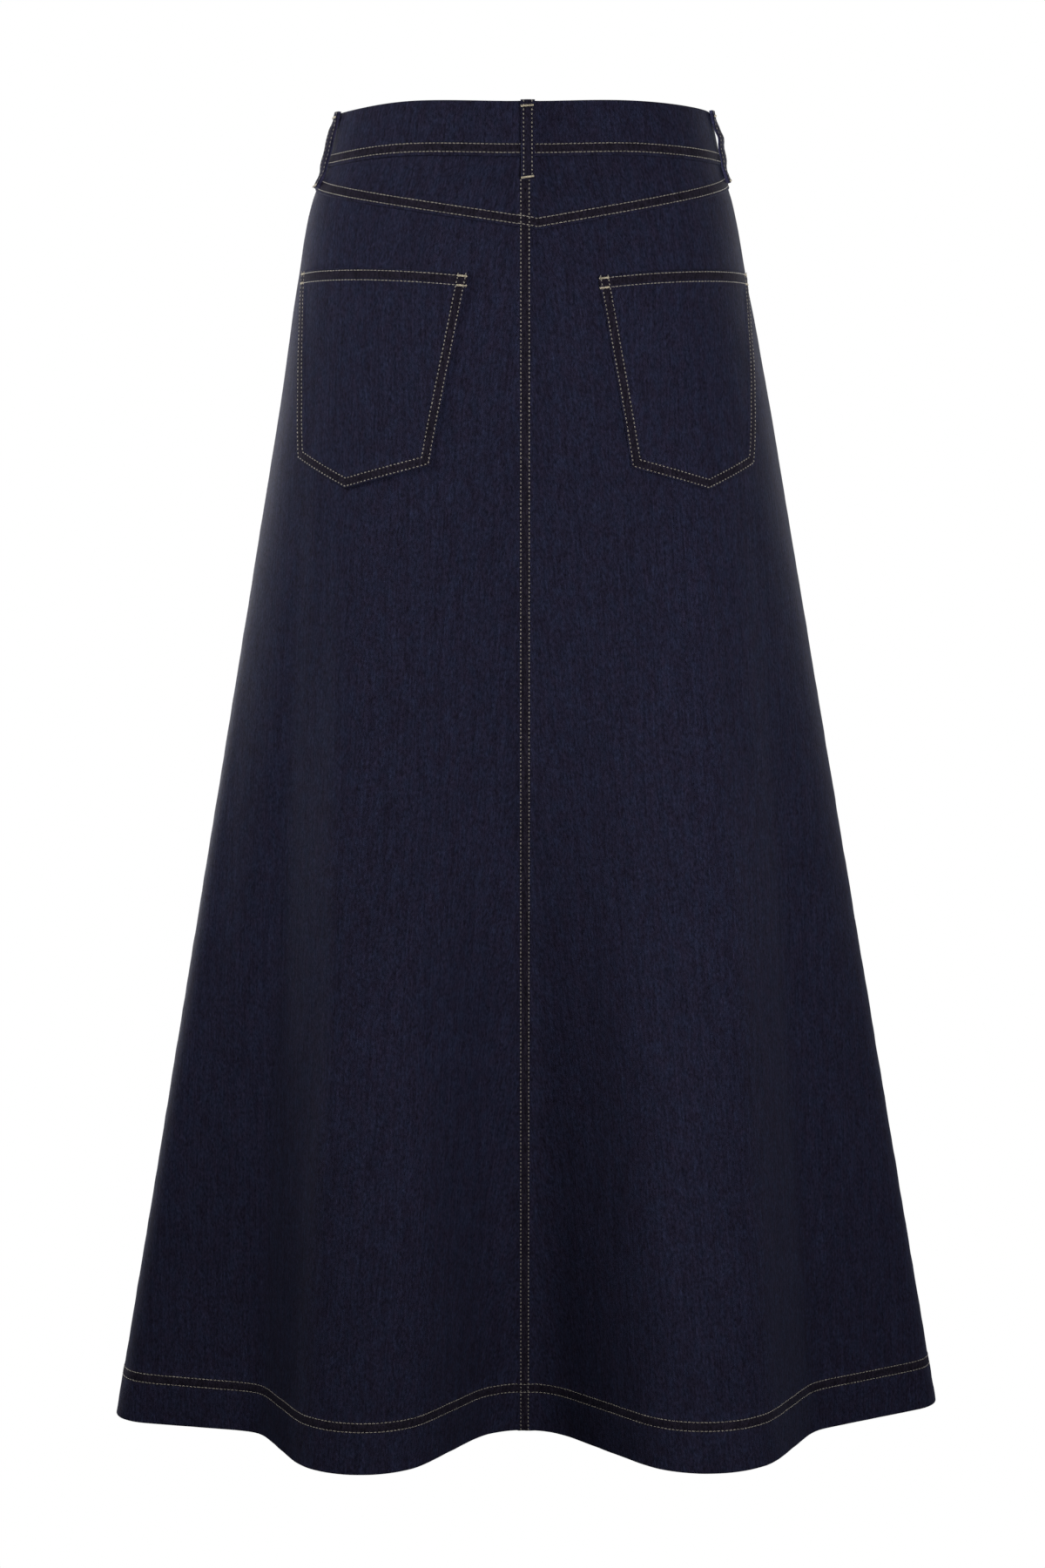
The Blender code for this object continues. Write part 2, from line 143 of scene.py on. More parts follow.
#   loop                      turn   length  stand   crest   lean
BELT_LOOPS = (
    ("belt_loop_back",        0.009, 0.0566, 0.0005, 0.0004, 0.0),
    ("belt_loop_side_right",  0.925, 0.0524, 0.0005, 0.0016, 0.20),
    ("belt_loop_front_right", 1.550, 0.0540, 0.0007, 0.0005, 0.0),
    ("belt_loop_front_left",  2.450, 0.0545, 0.0009, 0.0006, 0.0),
    ("belt_loop_side_left",   3.110, 0.0555, 0.0005, 0.0004, -0.24),
)

# Finer form -------------------------------------------------------------------------
ALLOWANCE = 0.018            # width of the side seams' allowances, inside
ALLOWANCE_CLOTH = 0.0010
SEAM_LAP = 0.0046            # the right panel's folded edge, past the centre seams
LAP_MARGIN = 0.0005
LAP_RISE = 0.0010            # the felled seam stands this proud of the panels
LAP_FLAT = 0.0040            # and stays so this far into the right panel
LAP_END = 0.0072
BUMP_REACH = 0.008           # of the felled seams' bump under the band
EDGE_LAP = 0.0008            # the yoke and band reach this far over what hangs from them
LAP_CLEAR = 0.00012          # between the faces of two lapped pieces
LEAST_WALL = 0.0002          # what is left of a wall where an edge rolls down
HEM_RISE = 0.0004            # the turned-up hem stands this proud
FOLD_RISE = 0.0006           # extra thickness of a folded edge
POCKET_FOLD_RISE = 0.0005
FOLD_WIDTH = 0.0085
FOLD_FADE = 0.003
BAND_PUFF = 0.0004           # the waistband is this much fuller along its middle
BAND_PUFFED = (0.010, 0.040)
BAND_TUCK = 0.0010           # and sinks this much at its end under the buttonhole
BAND_END_GAP = 0.00075       # at each end, in turns
GAPE_FACES = (0.0006, 0.0007)  # a pocket's inner and outer face stand off so far at its mouth
GAPE_REACH = 0.010
EDGE_RIPPLE = 0.00012        # of a pocket's sewn edges
LOOP_CROWN = 0.0003          # a belt loop is this much thicker along its middle
SEAM_ROLL = 0.0005           # radii of the rolled edges
FOLD_ROLL = 0.0008
HEM_ROLL = 0.0010
BAND_ROLL = 0.0011
TOP_ROLL = 0.0004
PRESS_DEPTH = 0.00022        # a row of stitches pulls the cloth down by this much
PRESS_WIDTH = 0.0008
ROW_FROM_EDGE = 0.0016       # the first row of stitches, from a folded edge
ROW_GAUGE = 0.0058           # between twin rows
YOKE_ROWS = (ROW_FROM_EDGE + EDGE_LAP, ROW_FROM_EDGE + EDGE_LAP + ROW_GAUGE)
POCKET_ROWS = (ROW_FROM_EDGE, ROW_FROM_EDGE + 0.0055)
MOUTH_ROWS = (ROW_FROM_EDGE, ROW_FROM_EDGE + 0.0068)
HEM_ROWS = (0.0305, 0.0368)  # above the hem's edge
BAND_ROWS = (0.0019, 0.0079)  # above the band's seam
CENTRE_ROWS = (-0.0031, 0.0027)
LOOP_ROW = 0.0029            # from a loop's middle
LOOP_ROW_ENDS = (0.02, 0.94)  # in shares of a loop's length
HEM_CLEAR = 0.0015           # the upright rows end this far above the hem's edge
BAND_CLEAR = 0.005           # the band's rows end this far from its ends, in turns
SIDE_CLEAR = 0.003           # and the yoke's rows from the side seams
STRIP_OUT = 0.0015           # the strip between twin rows darkens from this far outside them
STRIP_IN = 0.0005
FLY_WIDTH = 0.036
FLY_LENGTH = 0.150
MOUTH_TACK = (0.0010, 0.0078)  # ends of the bartacks, from the ends of a pocket's mouth
LOOP_TACKS = ((0.080, 0.0008), (0.980, 0.0013))  # shares down a belt loop, and slants
TACK_WIDTH = (-0.46, 0.39)   # ends of a belt loop's bartacks, in widths of the loop
TACK_OVERLAP = 1.3           # a bartack's threads, in widths of their pitch
TACK_HEIGHT = 1.2            # and their height, in heights of a topstitch
BUTTONHOLE = (0.0075, 0.0013)  # half its length and half its height
BUTTONHOLE_SHIFT = 0.0045    # its middle is so much nearer the edge than the button
SHORT_WIDER = 1.25           # the short stitches' width, in widths of the long ones
THREAD_SUNK = 0.15           # a thread's middle lies this share of its height above the cloth
SLOW_RIPPLE = 0.00035        # of the cloth all over
FINE_RIPPLE = 0.00022
PUCKER_REACH = 0.008         # the cloth puckers this far from a seam
PUCKER_DEPTH = 0.00022
ROWS_MIDDLE = 0.004          # of the twin rows, from the edge of the yoke or the band

# Puckers along the upright seams, by shares of that reach and depth
#   seam             turn  reach  depth  wave   phase
SEAM_PUCKERS = (
    ("centre back",  0.0,  1.0,   1.0,   0.021, 0.3),
    ("centre front", 2.0,  1.0,   1.0,   0.021, 1.9),
    ("right side",   1.0,  0.6,   0.8,   0.026, 0.8),
    ("left side",    3.0,  0.6,   0.8,   0.026, 2.6),
)

# Creases, as soft troughs (minus) and ridges, by the turn and height of their ends.
#   crease                     turn   height   turn   height   half width  depth
CREASES = (
    ("right of the back seam", 0.135, -0.300,  0.170, -0.930,  0.016,  -0.0016),
    ("right back ridge",       0.300, -0.380,  0.335, -0.900,  0.022,   0.0012),
    ("below right pocket",     0.560, -0.235,  0.545, -0.560,  0.014,  -0.0008),
    ("right thigh",            0.760, -0.330,  0.730, -0.870,  0.019,  -0.0013),
    ("right side ridge",       0.905, -0.260,  0.880, -0.720,  0.017,   0.0009),
    ("right hip pull",         0.985, -0.075,  0.700, -0.100,  0.007,  -0.0004),
    ("left of the back seam", -0.110, -0.330, -0.130, -0.800,  0.013,  -0.0010),
    ("left back ridge",       -0.310, -0.420, -0.345, -0.920,  0.021,   0.0011),
    ("left back trough",      -0.520, -0.500, -0.560, -0.940,  0.015,  -0.0015),
    ("below left pocket",     -0.600, -0.230, -0.570, -0.500,  0.013,  -0.0008),
    ("left thigh",            -0.740, -0.300, -0.780, -0.810,  0.018,   0.0010),
    ("left side trough",      -0.900, -0.360, -0.860, -0.880,  0.016,  -0.0010),
    ("left hip pull",         -0.980, -0.070, -0.660, -0.098,  0.007,  -0.0004),
    ("right front trough",     1.240, -0.250,  1.270, -0.760,  0.018,  -0.0014),
    ("right front ridge",      1.480, -0.340,  1.450, -0.880,  0.023,   0.0012),
    ("right lap crease",       1.160, -0.130,  1.640, -0.175,  0.010,  -0.0011),
    ("right of the front",     1.790, -0.300,  1.760, -0.930,  0.015,  -0.0012),
    ("left of the front",      2.150, -0.270,  2.190, -0.820,  0.017,  -0.0013),
    ("left lap crease",        2.820, -0.140,  2.330, -0.190,  0.011,  -0.0010),
    ("left front ridge",       2.420, -0.390,  2.440, -0.910,  0.021,   0.0011),
    ("left front trough",      2.680, -0.240,  2.650, -0.700,  0.016,  -0.0012),
)

# Mesh lines, as distances in from a piece's edge
EDGE_LINES = np.array((0.0, 0.06, 0.22, 0.5, 0.9, 1.3, 1.7, 2.3, 3.2, 4.4, 5.6, 6.6, 7.2, 7.8, 8.6,
                       10.0, 12.5, 16.0, 20.0)) / 1000
HEM_LINES = np.array((0.0, 0.08, 0.3, 0.7, 1.2, 2.0, 3.5, 6.0, 9.5, 13.5, 18.0, 22.5, 26.5, 29.0,
                      29.9, 30.5, 31.1, 32.2, 34.2, 35.8, 36.4, 36.9, 37.4, 38.2, 40.0, 43.0)) / 1000
SHORT_LINES = np.array((0.0, 0.06, 0.22, 0.5, 0.9, 1.5, 2.2)) / 1000

# Distances between the points of a line of stitches
STITCH_STEP = 0.0012
MOUTH_STEP = 0.0006
LOOP_STEP = 0.0005

# The denim's uneven yarns: how fine across and along the warp, and how far they lighten
# and darken the cloth
#   noise       across  along  detail  roughness  swing
DENIM_NOISES = (
    ("slubs",    640.0,  26.0, 3.0,    0.55,      0.34),
    ("flecks",   760.0, 330.0, 4.0,    0.65,      0.80),
    ("fibres",  1700.0, 420.0, 2.0,    0.55,      0.40),
    ("patches",  170.0,  90.0, 3.0,    0.55,      0.25),
)
TWILL_SWING = 0.2
RIM_HIGHLIGHT_SHARE = 3.0             # the belt loops' rims are painted so many times lighter, a painted highlight
NAP_ROUGHNESS = 0.42
BLUE_NAP = (0.55, 0.63, 1.0)
PALE_NAP = (0.9, 0.95, 1.0)

# Each kind of piece has its own stretch of the weave, so that no pattern runs on over a seam
YOKE_WEAVE = 0.37
BAND_WEAVE = 0.21
POCKET_WEAVE = 0.71

# Studio
CAMERA_PLACE = (-0.002, -2.6, -0.16325)
CAMERA_PITCH = 7.016
CAMERA_LENS = 79.365
CAMERA_SENSOR = 36.0
LIGHT_AIM = (0.0, 0.0, -0.35)
FLOOR_HEIGHT = -1.06
STUDIO_SIZE = 40.0
WHITE = (1.0, 1.0, 1.0, 1.0)
BLACK = (0.0, 0.0, 0.0, 1.0)

#   lamp          place                 size  power          share
LAMPS = (
    ("key",        (0.32, -1.25, -0.25), 0.6, "key_power",   1.0),
    ("left",       (-1.05, -0.15, 0.40), 0.6, "left_power",  1.1),
    ("left_edge",  (-0.86, 0.81, -0.45), 0.7, "left_power",  1.6),
    ("right",      (1.05, -0.15, 0.45),  0.6, "right_power", 0.5),
    ("right_edge", (0.82, 0.81, -0.10),  0.7, "right_power", 1.6),
    ("front",      (-0.7, 2.0, 0.8),     1.2, "front_power", 1.0),
)


# The surface ------------------------------------------------------------------------
def between(start, stop, share):
    return start + (stop - start) * share


def smooth_column(heights, values, at):
    """A smooth curve through the sections' values, straight from the hip to the hem."""
    order = np.argsort(heights)
    knots = np.array(heights)[order]
    steps = np.array(values)[order]
    rise = np.diff(steps) / np.diff(knots)
    slope = np.concatenate(([rise[0]], (rise[:-1] + rise[1:]) / 2, [rise[-1]]))
    slope[1] = rise[0]
    span = np.clip(np.searchsorted(knots, at) - 1, 0, len(knots) - 2)
    width = knots[span + 1] - knots[span]
    t = (at - knots[span]) / width
    return (steps[span] * (1 + 2 * t) * (1 - t) ** 2 + steps[span + 1] * t * t * (3 - 2 * t)
            + slope[span] * width * t * (1 - t) ** 2 - slope[span + 1] * width * t * t * (1 - t))


def even_points(path, count=0, step=STITCH_STEP, last=False):
    """A path's points at even steps: so many, or one for each step, with its last or without."""
    run = np.concatenate(([0.0], np.cumsum(np.linalg.norm(np.diff(path, axis=0), axis=1))))
    even = np.linspace(0.0, run[-1], count or int(run[-1] / step), endpoint=last)
    return np.column_stack([np.interp(even, run, path[:, axis]) for axis in (0, 1)])


def even_quarters(path, starts):
    """A closed path in plan, cut at four starts, each quarter in RING_STEPS equal steps."""
    quarters = []
    for start, stop in zip(starts, starts[1:] + starts[:1]):
        count = (stop - start) % len(path)
        piece = path[(start + np.arange(count + 1)) % len(path)]
        quarters.append(even_points(piece, RING_STEPS))
    return np.vstack(quarters)


def oval_ring(half_width, back_depth, front_depth, middle):
    """An oval with its own depths at the back and front, from the centre back seam."""
    seam = math.acos(-middle / half_width)
    corners = (-seam, 0.0, seam, math.pi, 2 * math.pi - seam)
    angle = np.concatenate([np.linspace(start, stop, RING_STEPS, endpoint=False)
                            for start, stop in zip(corners, corners[1:])])
    depth = np.where(np.sin(angle) < 0, back_depth, front_depth)
    path = np.column_stack((middle + half_width * np.cos(angle), depth * np.sin(angle)))
    return even_quarters(path, [quarter * RING_STEPS for quarter in range(4)])


def taut_line(curves):
    """The line of a belt run round circles in plan: arcs joined by straight runs."""
    centres = np.array([(x, y) for _, x, y, _ in curves])
    radii = np.array([radius for _, _, _, radius in curves])
    leave = []
    for centre, radius, after, after_radius in zip(
            centres, radii, np.roll(centres, -1, axis=0), np.roll(radii, -1)):
        across = after - centre
        bend = math.acos((after_radius - radius) / math.hypot(*across))
        leave.append(math.atan2(across[1], across[0]) + bend)
    points = []
    for index, (centre, radius) in enumerate(zip(centres, radii)):
        turn = (leave[index] - leave[index - 1] + math.pi) % (2 * math.pi) - math.pi
        for angle in leave[index - 1] + np.linspace(0.0, turn, 24):
            points.append(centre - radius * np.array((math.cos(angle), math.sin(angle))))
    return np.array(points)


def hem_ring():
    """The folded hem in plan, softened, from the centre back seam round by the right."""
    corners = taut_line(HEM_FOLDS)
    path = even_points(np.vstack((corners, corners[:1])), step=HEM_STEP)
    count = len(path)
    reach = round(HEM_SOFTENING / HEM_STEP)
    weights = np.hanning(2 * reach + 3)[1:-1]
    weights /= weights.sum()
    near = (np.arange(count)[:, None] + np.arange(-reach, reach + 1)[None, :]) % count
    path = (path[near] * weights[None, :, None]).sum(axis=1)
    off_seam = np.abs(path[:, 0] - HEM_FOLDS[0][1])
    starts = (off_seam + (path[:, 1] > 0), -path[:, 0], off_seam + (path[:, 1] < 0), path[:, 0])
    return even_quarters(path, [int(np.argmin(distance)) for distance in starts])


def build_rings():
    """The heights of the surface's rings and their points, from the hem up."""
    top = WAIST_EDGE + LEVEL_STEP
    heights = np.linspace(HEM_HEIGHT, top, int((top - HEM_HEIGHT) / LEVEL_STEP) + 1)
    section_heights = [row[1] for row in SECTIONS]
    columns = [smooth_column(section_heights, [row[column] for row in SECTIONS], heights)
               for column in (2, 3, 4, 5)]
    folds = hem_ring() - oval_ring(*SECTIONS[-1][2:])
    rings = []
    for height, *oval in zip(heights, *columns):
        fall = max(0.0, (HIP_HEIGHT - height) / (HIP_HEIGHT - HEM_HEIGHT))
        rings.append(oval_ring(*oval) + fall ** FOLD_GROWTH * folds)
    return heights, np.array(rings)


LEVELS, RINGS = build_rings()
RING_POINTS = RINGS.shape[1]


def skirt_point(turn, height):
    """The outer face of the uncreased cloth at each turn and height."""
    turn, height = np.broadcast_arrays(np.asarray(turn, float), np.asarray(height, float))
    along = (turn % 4.0) * RING_STEPS
    step = np.floor(along).astype(int)
    part = (along - step)[..., None]
    rise = np.clip((height - LEVELS[0]) / (LEVELS[1] - LEVELS[0]), 0.0, len(LEVELS) - 1.001)
    level = np.floor(rise).astype(int)
    up = (rise - level)[..., None]
    plan = 0.0
    for ring, share in ((level, 1 - up), (level + 1, up)):
        plan = plan + share * (RINGS[ring, step % RING_POINTS] * (1 - part)
                               + RINGS[ring, (step + 1) % RING_POINTS] * part)
    return np.concatenate((plan, height[..., None]), axis=-1)


def skirt_normal(turn, height):
    """The outward direction of the surface at each turn and height."""
    step = 1.5 / RING_STEPS
    around = skirt_point(turn + step, height) - skirt_point(turn - step, height)
    low = np.maximum(height - LEVEL_STEP, HEM_HEIGHT)
    upward = skirt_point(turn, low + 2 * LEVEL_STEP) - skirt_point(turn, low)
    normal = np.cross(around, upward)
    return normal / np.linalg.norm(normal, axis=-1, keepdims=True)


def quarter_length(quarter, height):
    """The length of cloth between two seams at a height, measured on the surface."""
    turns = quarter + np.linspace(0.0, 1.0, 60)
    return np.linalg.norm(np.diff(skirt_point(turns, height), axis=0), axis=1).sum()


GIRTH_HEIGHTS = np.linspace(HEM_HEIGHT, WAIST_EDGE, 24)
QUARTER_LENGTHS = np.array([[quarter_length(quarter, height) for height in GIRTH_HEIGHTS]
                            for quarter in range(4)])
MEAN_LENGTHS = QUARTER_LENGTHS.mean(axis=0)


def cloth_length(quarter, height):
    """The length of cloth between two seams at each height."""
    return np.interp(height, GIRTH_HEIGHTS, QUARTER_LENGTHS[quarter])


def mean_length(height):
    """A quarter of the girth at each height."""
    return np.interp(height, GIRTH_HEIGHTS, MEAN_LENGTHS)


def turns_off(turn, centre=0.0):
    """The turns from one place to another, shortest way round: -2 to 2."""
    return (turn - centre + 2.0) % 4.0 - 2.0


def off_turn(turn, centre, height):
    """The distance across the cloth from one turn to another, shortest way round."""
    return turns_off(turn, centre) * mean_length(height)


def band_rise(turn):
    """How far the waistband rises or falls, running smoothly from place to place."""
    places = np.array([row[1] for row in BAND_RISES] + [4.0])
    rises = np.array([row[2] for row in (*BAND_RISES, BAND_RISES[0])])
    turn = turn % 4.0
    span = np.searchsorted(places, turn, side="right") - 1
    share = (turn - places[span]) / (places[span + 1] - places[span])
    return between(rises[span], rises[span + 1], share * share * (3 - 2 * share))


def waist_edge(turn):
    """The height of the waistband's top edge."""
    return WAIST_EDGE + band_rise(turn)


def band_seam(turn):
    """The height of the seam below the waistband."""
    return BAND_SEAM + band_rise(turn)


def yoke_edge(quarter, turn):
    """The height of a half yoke's lower edge; the left half's line runs on over the centre seam."""
    (_, _, right_back, right_side), (_, _, left_back, left_side) = YOKE_EDGES
    left = between(left_back, left_side, -turns_off(turn))
    if quarter == 3:
        return left
    return np.maximum(left, between(right_back, right_side, turns_off(turn)))


# Creases and lifts ------------------------------------------------------------------
def smoothstep(low, high, value):
    t = np.clip((value - low) / (high - low), 0.0, 1.0)
    return t * t * (3 - 2 * t)


def wobble(run, wave, phase):
    """An uneven ripple along a run, from -1 to 1."""
    return (0.50 * np.sin(2 * math.pi * run / wave + phase)
            + 0.32 * np.sin(2 * math.pi * run / (0.63 * wave) + 2.3 * phase)
            + 0.18 * np.sin(2 * math.pi * run / (1.71 * wave) + 4.1 * phase))


def bell(distance, reach):
    return np.exp(-(distance / reach) ** 2)


def cloth_relief(turn, height):
    """How far the creased cloth stands from the smooth surface."""
    turn, height = np.broadcast_arrays(np.asarray(turn, float), np.asarray(height, float))
    depth = bpy.context.scene.skirt_sizes.crease_depth
    relief = np.zeros_like(turn)
    for _, top_turn, top, low_turn, low, half_width, rise in CREASES:
        along = np.clip((top - height) / (top - low), 0.0, 1.0)
        reach = half_width * (0.75 + 0.5 * along)
        off = off_turn(turn, between(top_turn, low_turn, along), height)
        relief += depth * rise * np.sin(math.pi * along) * bell(off, reach)
    girth = off_turn(turn, 2.0, height)
    relief += SLOW_RIPPLE * wobble(girth + 0.35 * height, 0.083, 0.6) * wobble(height, 0.31, 1.7)
    relief += FINE_RIPPLE * wobble(height + 0.2 * girth, 0.067, 2.9) * wobble(girth, 0.17, 0.4)
    puckers = [(share, bell(off_turn(turn, seam, height), reach * PUCKER_REACH), wobble(height, wave, phase))
               for _, seam, reach, share, wave, phase in SEAM_PUCKERS]
    near_hem_rows = bell(height - HEM_HEIGHT - sum(HEM_ROWS) / 2, 1.3 * PUCKER_REACH)
    in_hem = smoothstep(HEM_HEIGHT + HEM_DEPTH, HEM_HEIGHT, height)
    yoke_low = np.where(turn % 4.0 < 2.0, yoke_edge(0, turn), yoke_edge(3, turn))
    near_yoke_rows = bell(height - yoke_low - ROWS_MIDDLE, PUCKER_REACH) * (np.abs(turns_off(turn)) < 1.0)
    near_band_rows = bell(height - band_seam(turn) - ROWS_MIDDLE, PUCKER_REACH)
    puckers += [
        (1.0, near_hem_rows, wobble(girth, 0.024, 1.1)),
        (0.9, in_hem, wobble(girth + 0.7 * (height - HEM_HEIGHT), 0.028, 0.2)),
        (1.0, near_yoke_rows, wobble(girth, 0.018, 2.2)),
        (0.8, near_band_rows, wobble(girth, 0.017, 0.9)),
    ]
    return relief + PUCKER_DEPTH * sum(share * near * waves for share, near, waves in puckers)


def cloth_point(turn, height, lift):
    """Points a lift above the creased cloth, and the outward directions there."""
    outward = skirt_normal(turn, height)
    return skirt_point(turn, height) + (cloth_relief(turn, height) + lift)[..., None] * outward, outward


def edge_drop(distance, radius):
    """How far a folded edge's outer face has rolled down at a distance from the edge."""
    inside = np.clip(radius - distance, 0.0, radius)
    return radius - np.sqrt(radius ** 2 - inside ** 2)


def press(distance, *rows):
    """The dip of the cloth along rows of stitches, by their distances from an edge."""
    return -PRESS_DEPTH * sum(bell(distance - row, PRESS_WIDTH) for row in rows)


def fold_share(distance):
    """How far a folded edge is double, by the distance from it: 1, falling to 0 past the fold."""
    return 1 - smoothstep(FOLD_WIDTH, FOLD_WIDTH + FOLD_FADE, distance)


def into_right(turn, height):
    """The distance from the nearer centre seam into the right half of the skirt."""
    back = off_turn(turn, 0.0, height)
    front = -off_turn(turn, 2.0, height)
    return np.where(np.abs(back) < np.abs(front), back, front)


def lap_rise(right):
    """How proud a felled centre seam stands, by the distance into the right half."""
    rise = LAP_RISE * (1 - smoothstep(LAP_FLAT, LAP_END, right))
    return np.where(right > -SEAM_LAP - LAP_MARGIN, rise, 0.0)


def lap_lift(turn, height):
    """The felled centre seams, pressed along their twin rows."""
    right = into_right(turn, height)
    return lap_rise(right) + press(right, *(-row for row in CENTRE_ROWS))


def seam_bump(turn, height):
    """The soft bump that the felled centre seams raise under the band and its loop."""
    return LAP_RISE * sum(bell(off_turn(turn, seam, height), BUMP_REACH) for seam in (0.0, 2.0))


def panel_lift(turn, height):
    """The outer face of the panels, without their rolled edges."""
    above_hem = height - HEM_HEIGHT
    hem = HEM_RISE * smoothstep(HEM_DEPTH + 0.001, HEM_DEPTH - 0.0008, above_hem)
    return hem + lap_lift(turn, height) + press(above_hem, *HEM_ROWS)


def yoke_lift(quarter, turn, height):
    """The outer face of a half yoke, without its rolled edges."""
    above = height - yoke_edge(quarter, turn) + EDGE_LAP
    return YOKE_LIFT + FOLD_RISE * fold_share(above) + lap_lift(turn, height) + press(above, *YOKE_ROWS)


def band_lift(turn, height):
    """The outer face of the waistband, without its rolled edges."""
    above = height - band_seam(turn)
    low, high = BAND_PUFFED
    puff = BAND_PUFF * np.sin(math.pi * np.clip((above + EDGE_LAP - low) / (high - low), 0.0, 1.0))
    fold = FOLD_RISE * fold_share(above + EDGE_LAP)
    return BAND_LIFT + fold + puff + seam_bump(turn, height) + press(above, *BAND_ROWS)


# Meshes -----------------------------------------------------------------------------
def line_plan(first, last, middle):
    """Offsets and shares of lines close together at both ends and even between."""
    even = np.arange(1, middle + 1) / (middle + 1)
    offset = np.concatenate((first, np.full(middle, first[-1]), first[-1] + last[-1] - last[::-1]))
    share = np.concatenate((np.zeros(len(first)), even, np.ones(len(last))))
    return offset, share, first[-1] + last[-1]


def lay_lines(start, stop, plan):
    """Places of the plan's lines from a start to a stop."""
    offset, share, ends = plan
    return start + offset + share * (stop - start - ends)


def lay_rows(top, low, plan):
    """Heights of the plan's lines from a top edge down to a lower one, a row for each line."""
    offset, share, ends = plan
    return top - (offset[:, None] + share[:, None] * (top - low - ends))


def lay_across(quarter, height, plan):
    """The plan's lines across a piece, its right-hand one reaching past its centre seam.

    Gives their distances across and their turns, the length between the seams, and the
    distances in from the nearer edge.
    """
    start_lap, stop_lap = (SEAM_LAP if quarter == lapped else -SEAM_GAP / 2 for lapped in (0, 1))
    length = cloth_length(quarter, height)
    across = lay_lines(-start_lap, length + stop_lap, plan)
    from_edge = np.minimum(across + start_lap, length + stop_lap - across)
    return across, quarter + across / length, length, from_edge


def add_object(name, data):
    """A new object in the scene."""
    item = bpy.data.objects.new(name, data)
    bpy.context.collection.objects.link(item)
    return item


def mesh_object(name, form, material):
    """An object of one material from a finished bmesh."""
    mesh = bpy.data.meshes.new(name)
    form.to_mesh(mesh)
    form.free()
    mesh.materials.append(material)
    return add_object(name, mesh)


def shell(name, turn, height, lift, inner_lift, grain, seam, materials):
    """A closed wall of cloth, from arrays of rows by columns.

    grain is a pair of arrays, across and along the warp in metres, and seam says how
    much of the darkening between twin rows of stitches falls on each point.  The
    materials are those of the face and the reverse, and of the rim where it has its own.
    """
    outer, inner = (cloth_point(turn, height, level)[0].reshape(-1, 3) for level in (lift, inner_lift))
    index = np.arange(turn.size).reshape(turn.shape)
    quads = np.stack((index[:-1, :-1], index[1:, :-1], index[1:, 1:], index[:-1, 1:]), axis=-1)
    quads = quads.reshape(-1, 4)
    rim = np.concatenate((index[:-1, 0], index[-1, :-1], index[:0:-1, -1], index[0, :0:-1]))
    after = np.roll(rim, -1)
    rim_quads = np.stack((after, rim, rim + turn.size, after + turn.size), axis=-1)
    faces = np.concatenate((quads, rim_quads, quads[:, ::-1] + turn.size))
    mesh = bpy.data.meshes.new(name)
    mesh.vertices.add(2 * turn.size)
    mesh.vertices.foreach_set("co", np.concatenate((outer, inner)).astype(np.float32).ravel())
    mesh.loops.add(faces.size)
    mesh.loops.foreach_set("vertex_index", faces.astype(np.int32).ravel())
    mesh.polygons.add(len(faces))
    mesh.polygons.foreach_set("loop_start", np.arange(0, faces.size, 4, dtype=np.int32))
    for material in materials:
        mesh.materials.append(material)
    rim_slot = 2 if len(materials) > 2 else 0
    slots = np.repeat((0, rim_slot, 1), (len(quads), len(rim_quads), len(quads)))
    mesh.polygons.foreach_set("material_index", slots.astype(np.int32))
    uv = np.stack([np.tile(axis.ravel(), 2) for axis in grain], axis=-1)
    layer = mesh.uv_layers.new(name="grain")
    layer.data.foreach_set("uv", uv[faces.ravel()].astype(np.float32).ravel())
    shade = mesh.attributes.new("seam", "FLOAT", "POINT")
    shade.data.foreach_set("value", np.tile(seam.ravel(), 2).astype(np.float32))
    mesh.update(calc_edges=True)
    mesh.validate()
    mesh.shade_smooth()
    mesh.set_sharp_from_angle(angle=math.radians(50))
    return add_object(name, mesh)


def dress(item, slot, *nodes):
    """Attach a finished piece to the root, and hide the model's parts that it stands for."""
    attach(item, "root")
    if nodes:
        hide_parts(*nodes)


def strip_shade(distance, rows):
    """The darker strip between twin rows of stitches."""
    low, high = rows
    return (smoothstep(low - STRIP_OUT, low + STRIP_IN, distance)
            * smoothstep(high + STRIP_OUT, high - STRIP_IN, distance))


def make_panel(name, quarter, materials):
    """One of the four flared panels, the right ones lapped over the left at the centre."""
    is_back = quarter in (0, 3)
    columns = line_plan(EDGE_LINES, EDGE_LINES, 80)
    rows = line_plan(EDGE_LINES, HEM_LINES, 190)
    top = np.full(len(columns[0]), BAND_SEAM)
    for _ in range(3):
        turn = lay_across(quarter, top, columns)[1]
        top = (yoke_edge(quarter, turn) if is_back else band_seam(turn)) - SEAM_GAP
    height = lay_rows(top, HEM_HEIGHT, rows)
    across, turn, length, from_edge = lay_across(quarter, height, columns)
    above_hem = height - HEM_HEIGHT
    lift = panel_lift(turn, height) - edge_drop(from_edge, SEAM_ROLL)
    lift = lift - edge_drop(above_hem, HEM_ROLL) - edge_drop(top - height, TOP_ROLL)
    wall = between(CLOTH, HEM_CLOTH, smoothstep(HEM_DEPTH + 0.001, HEM_DEPTH, above_hem))
    is_lap = (across < -SEAM_GAP / 2) | (across > length + SEAM_GAP / 2)
    inner = np.minimum(np.where(is_lap, LAP_CLEAR, -wall), lift - LEAST_WALL)
    seam = np.maximum(strip_shade(above_hem, HEM_ROWS), strip_shade(into_right(turn, height), CENTRE_ROWS))
    grain = (across - length / 2 + quarter, height)
    item = shell(name, turn, height, lift, inner, grain, seam, materials)
    dress(item, "denim", name)


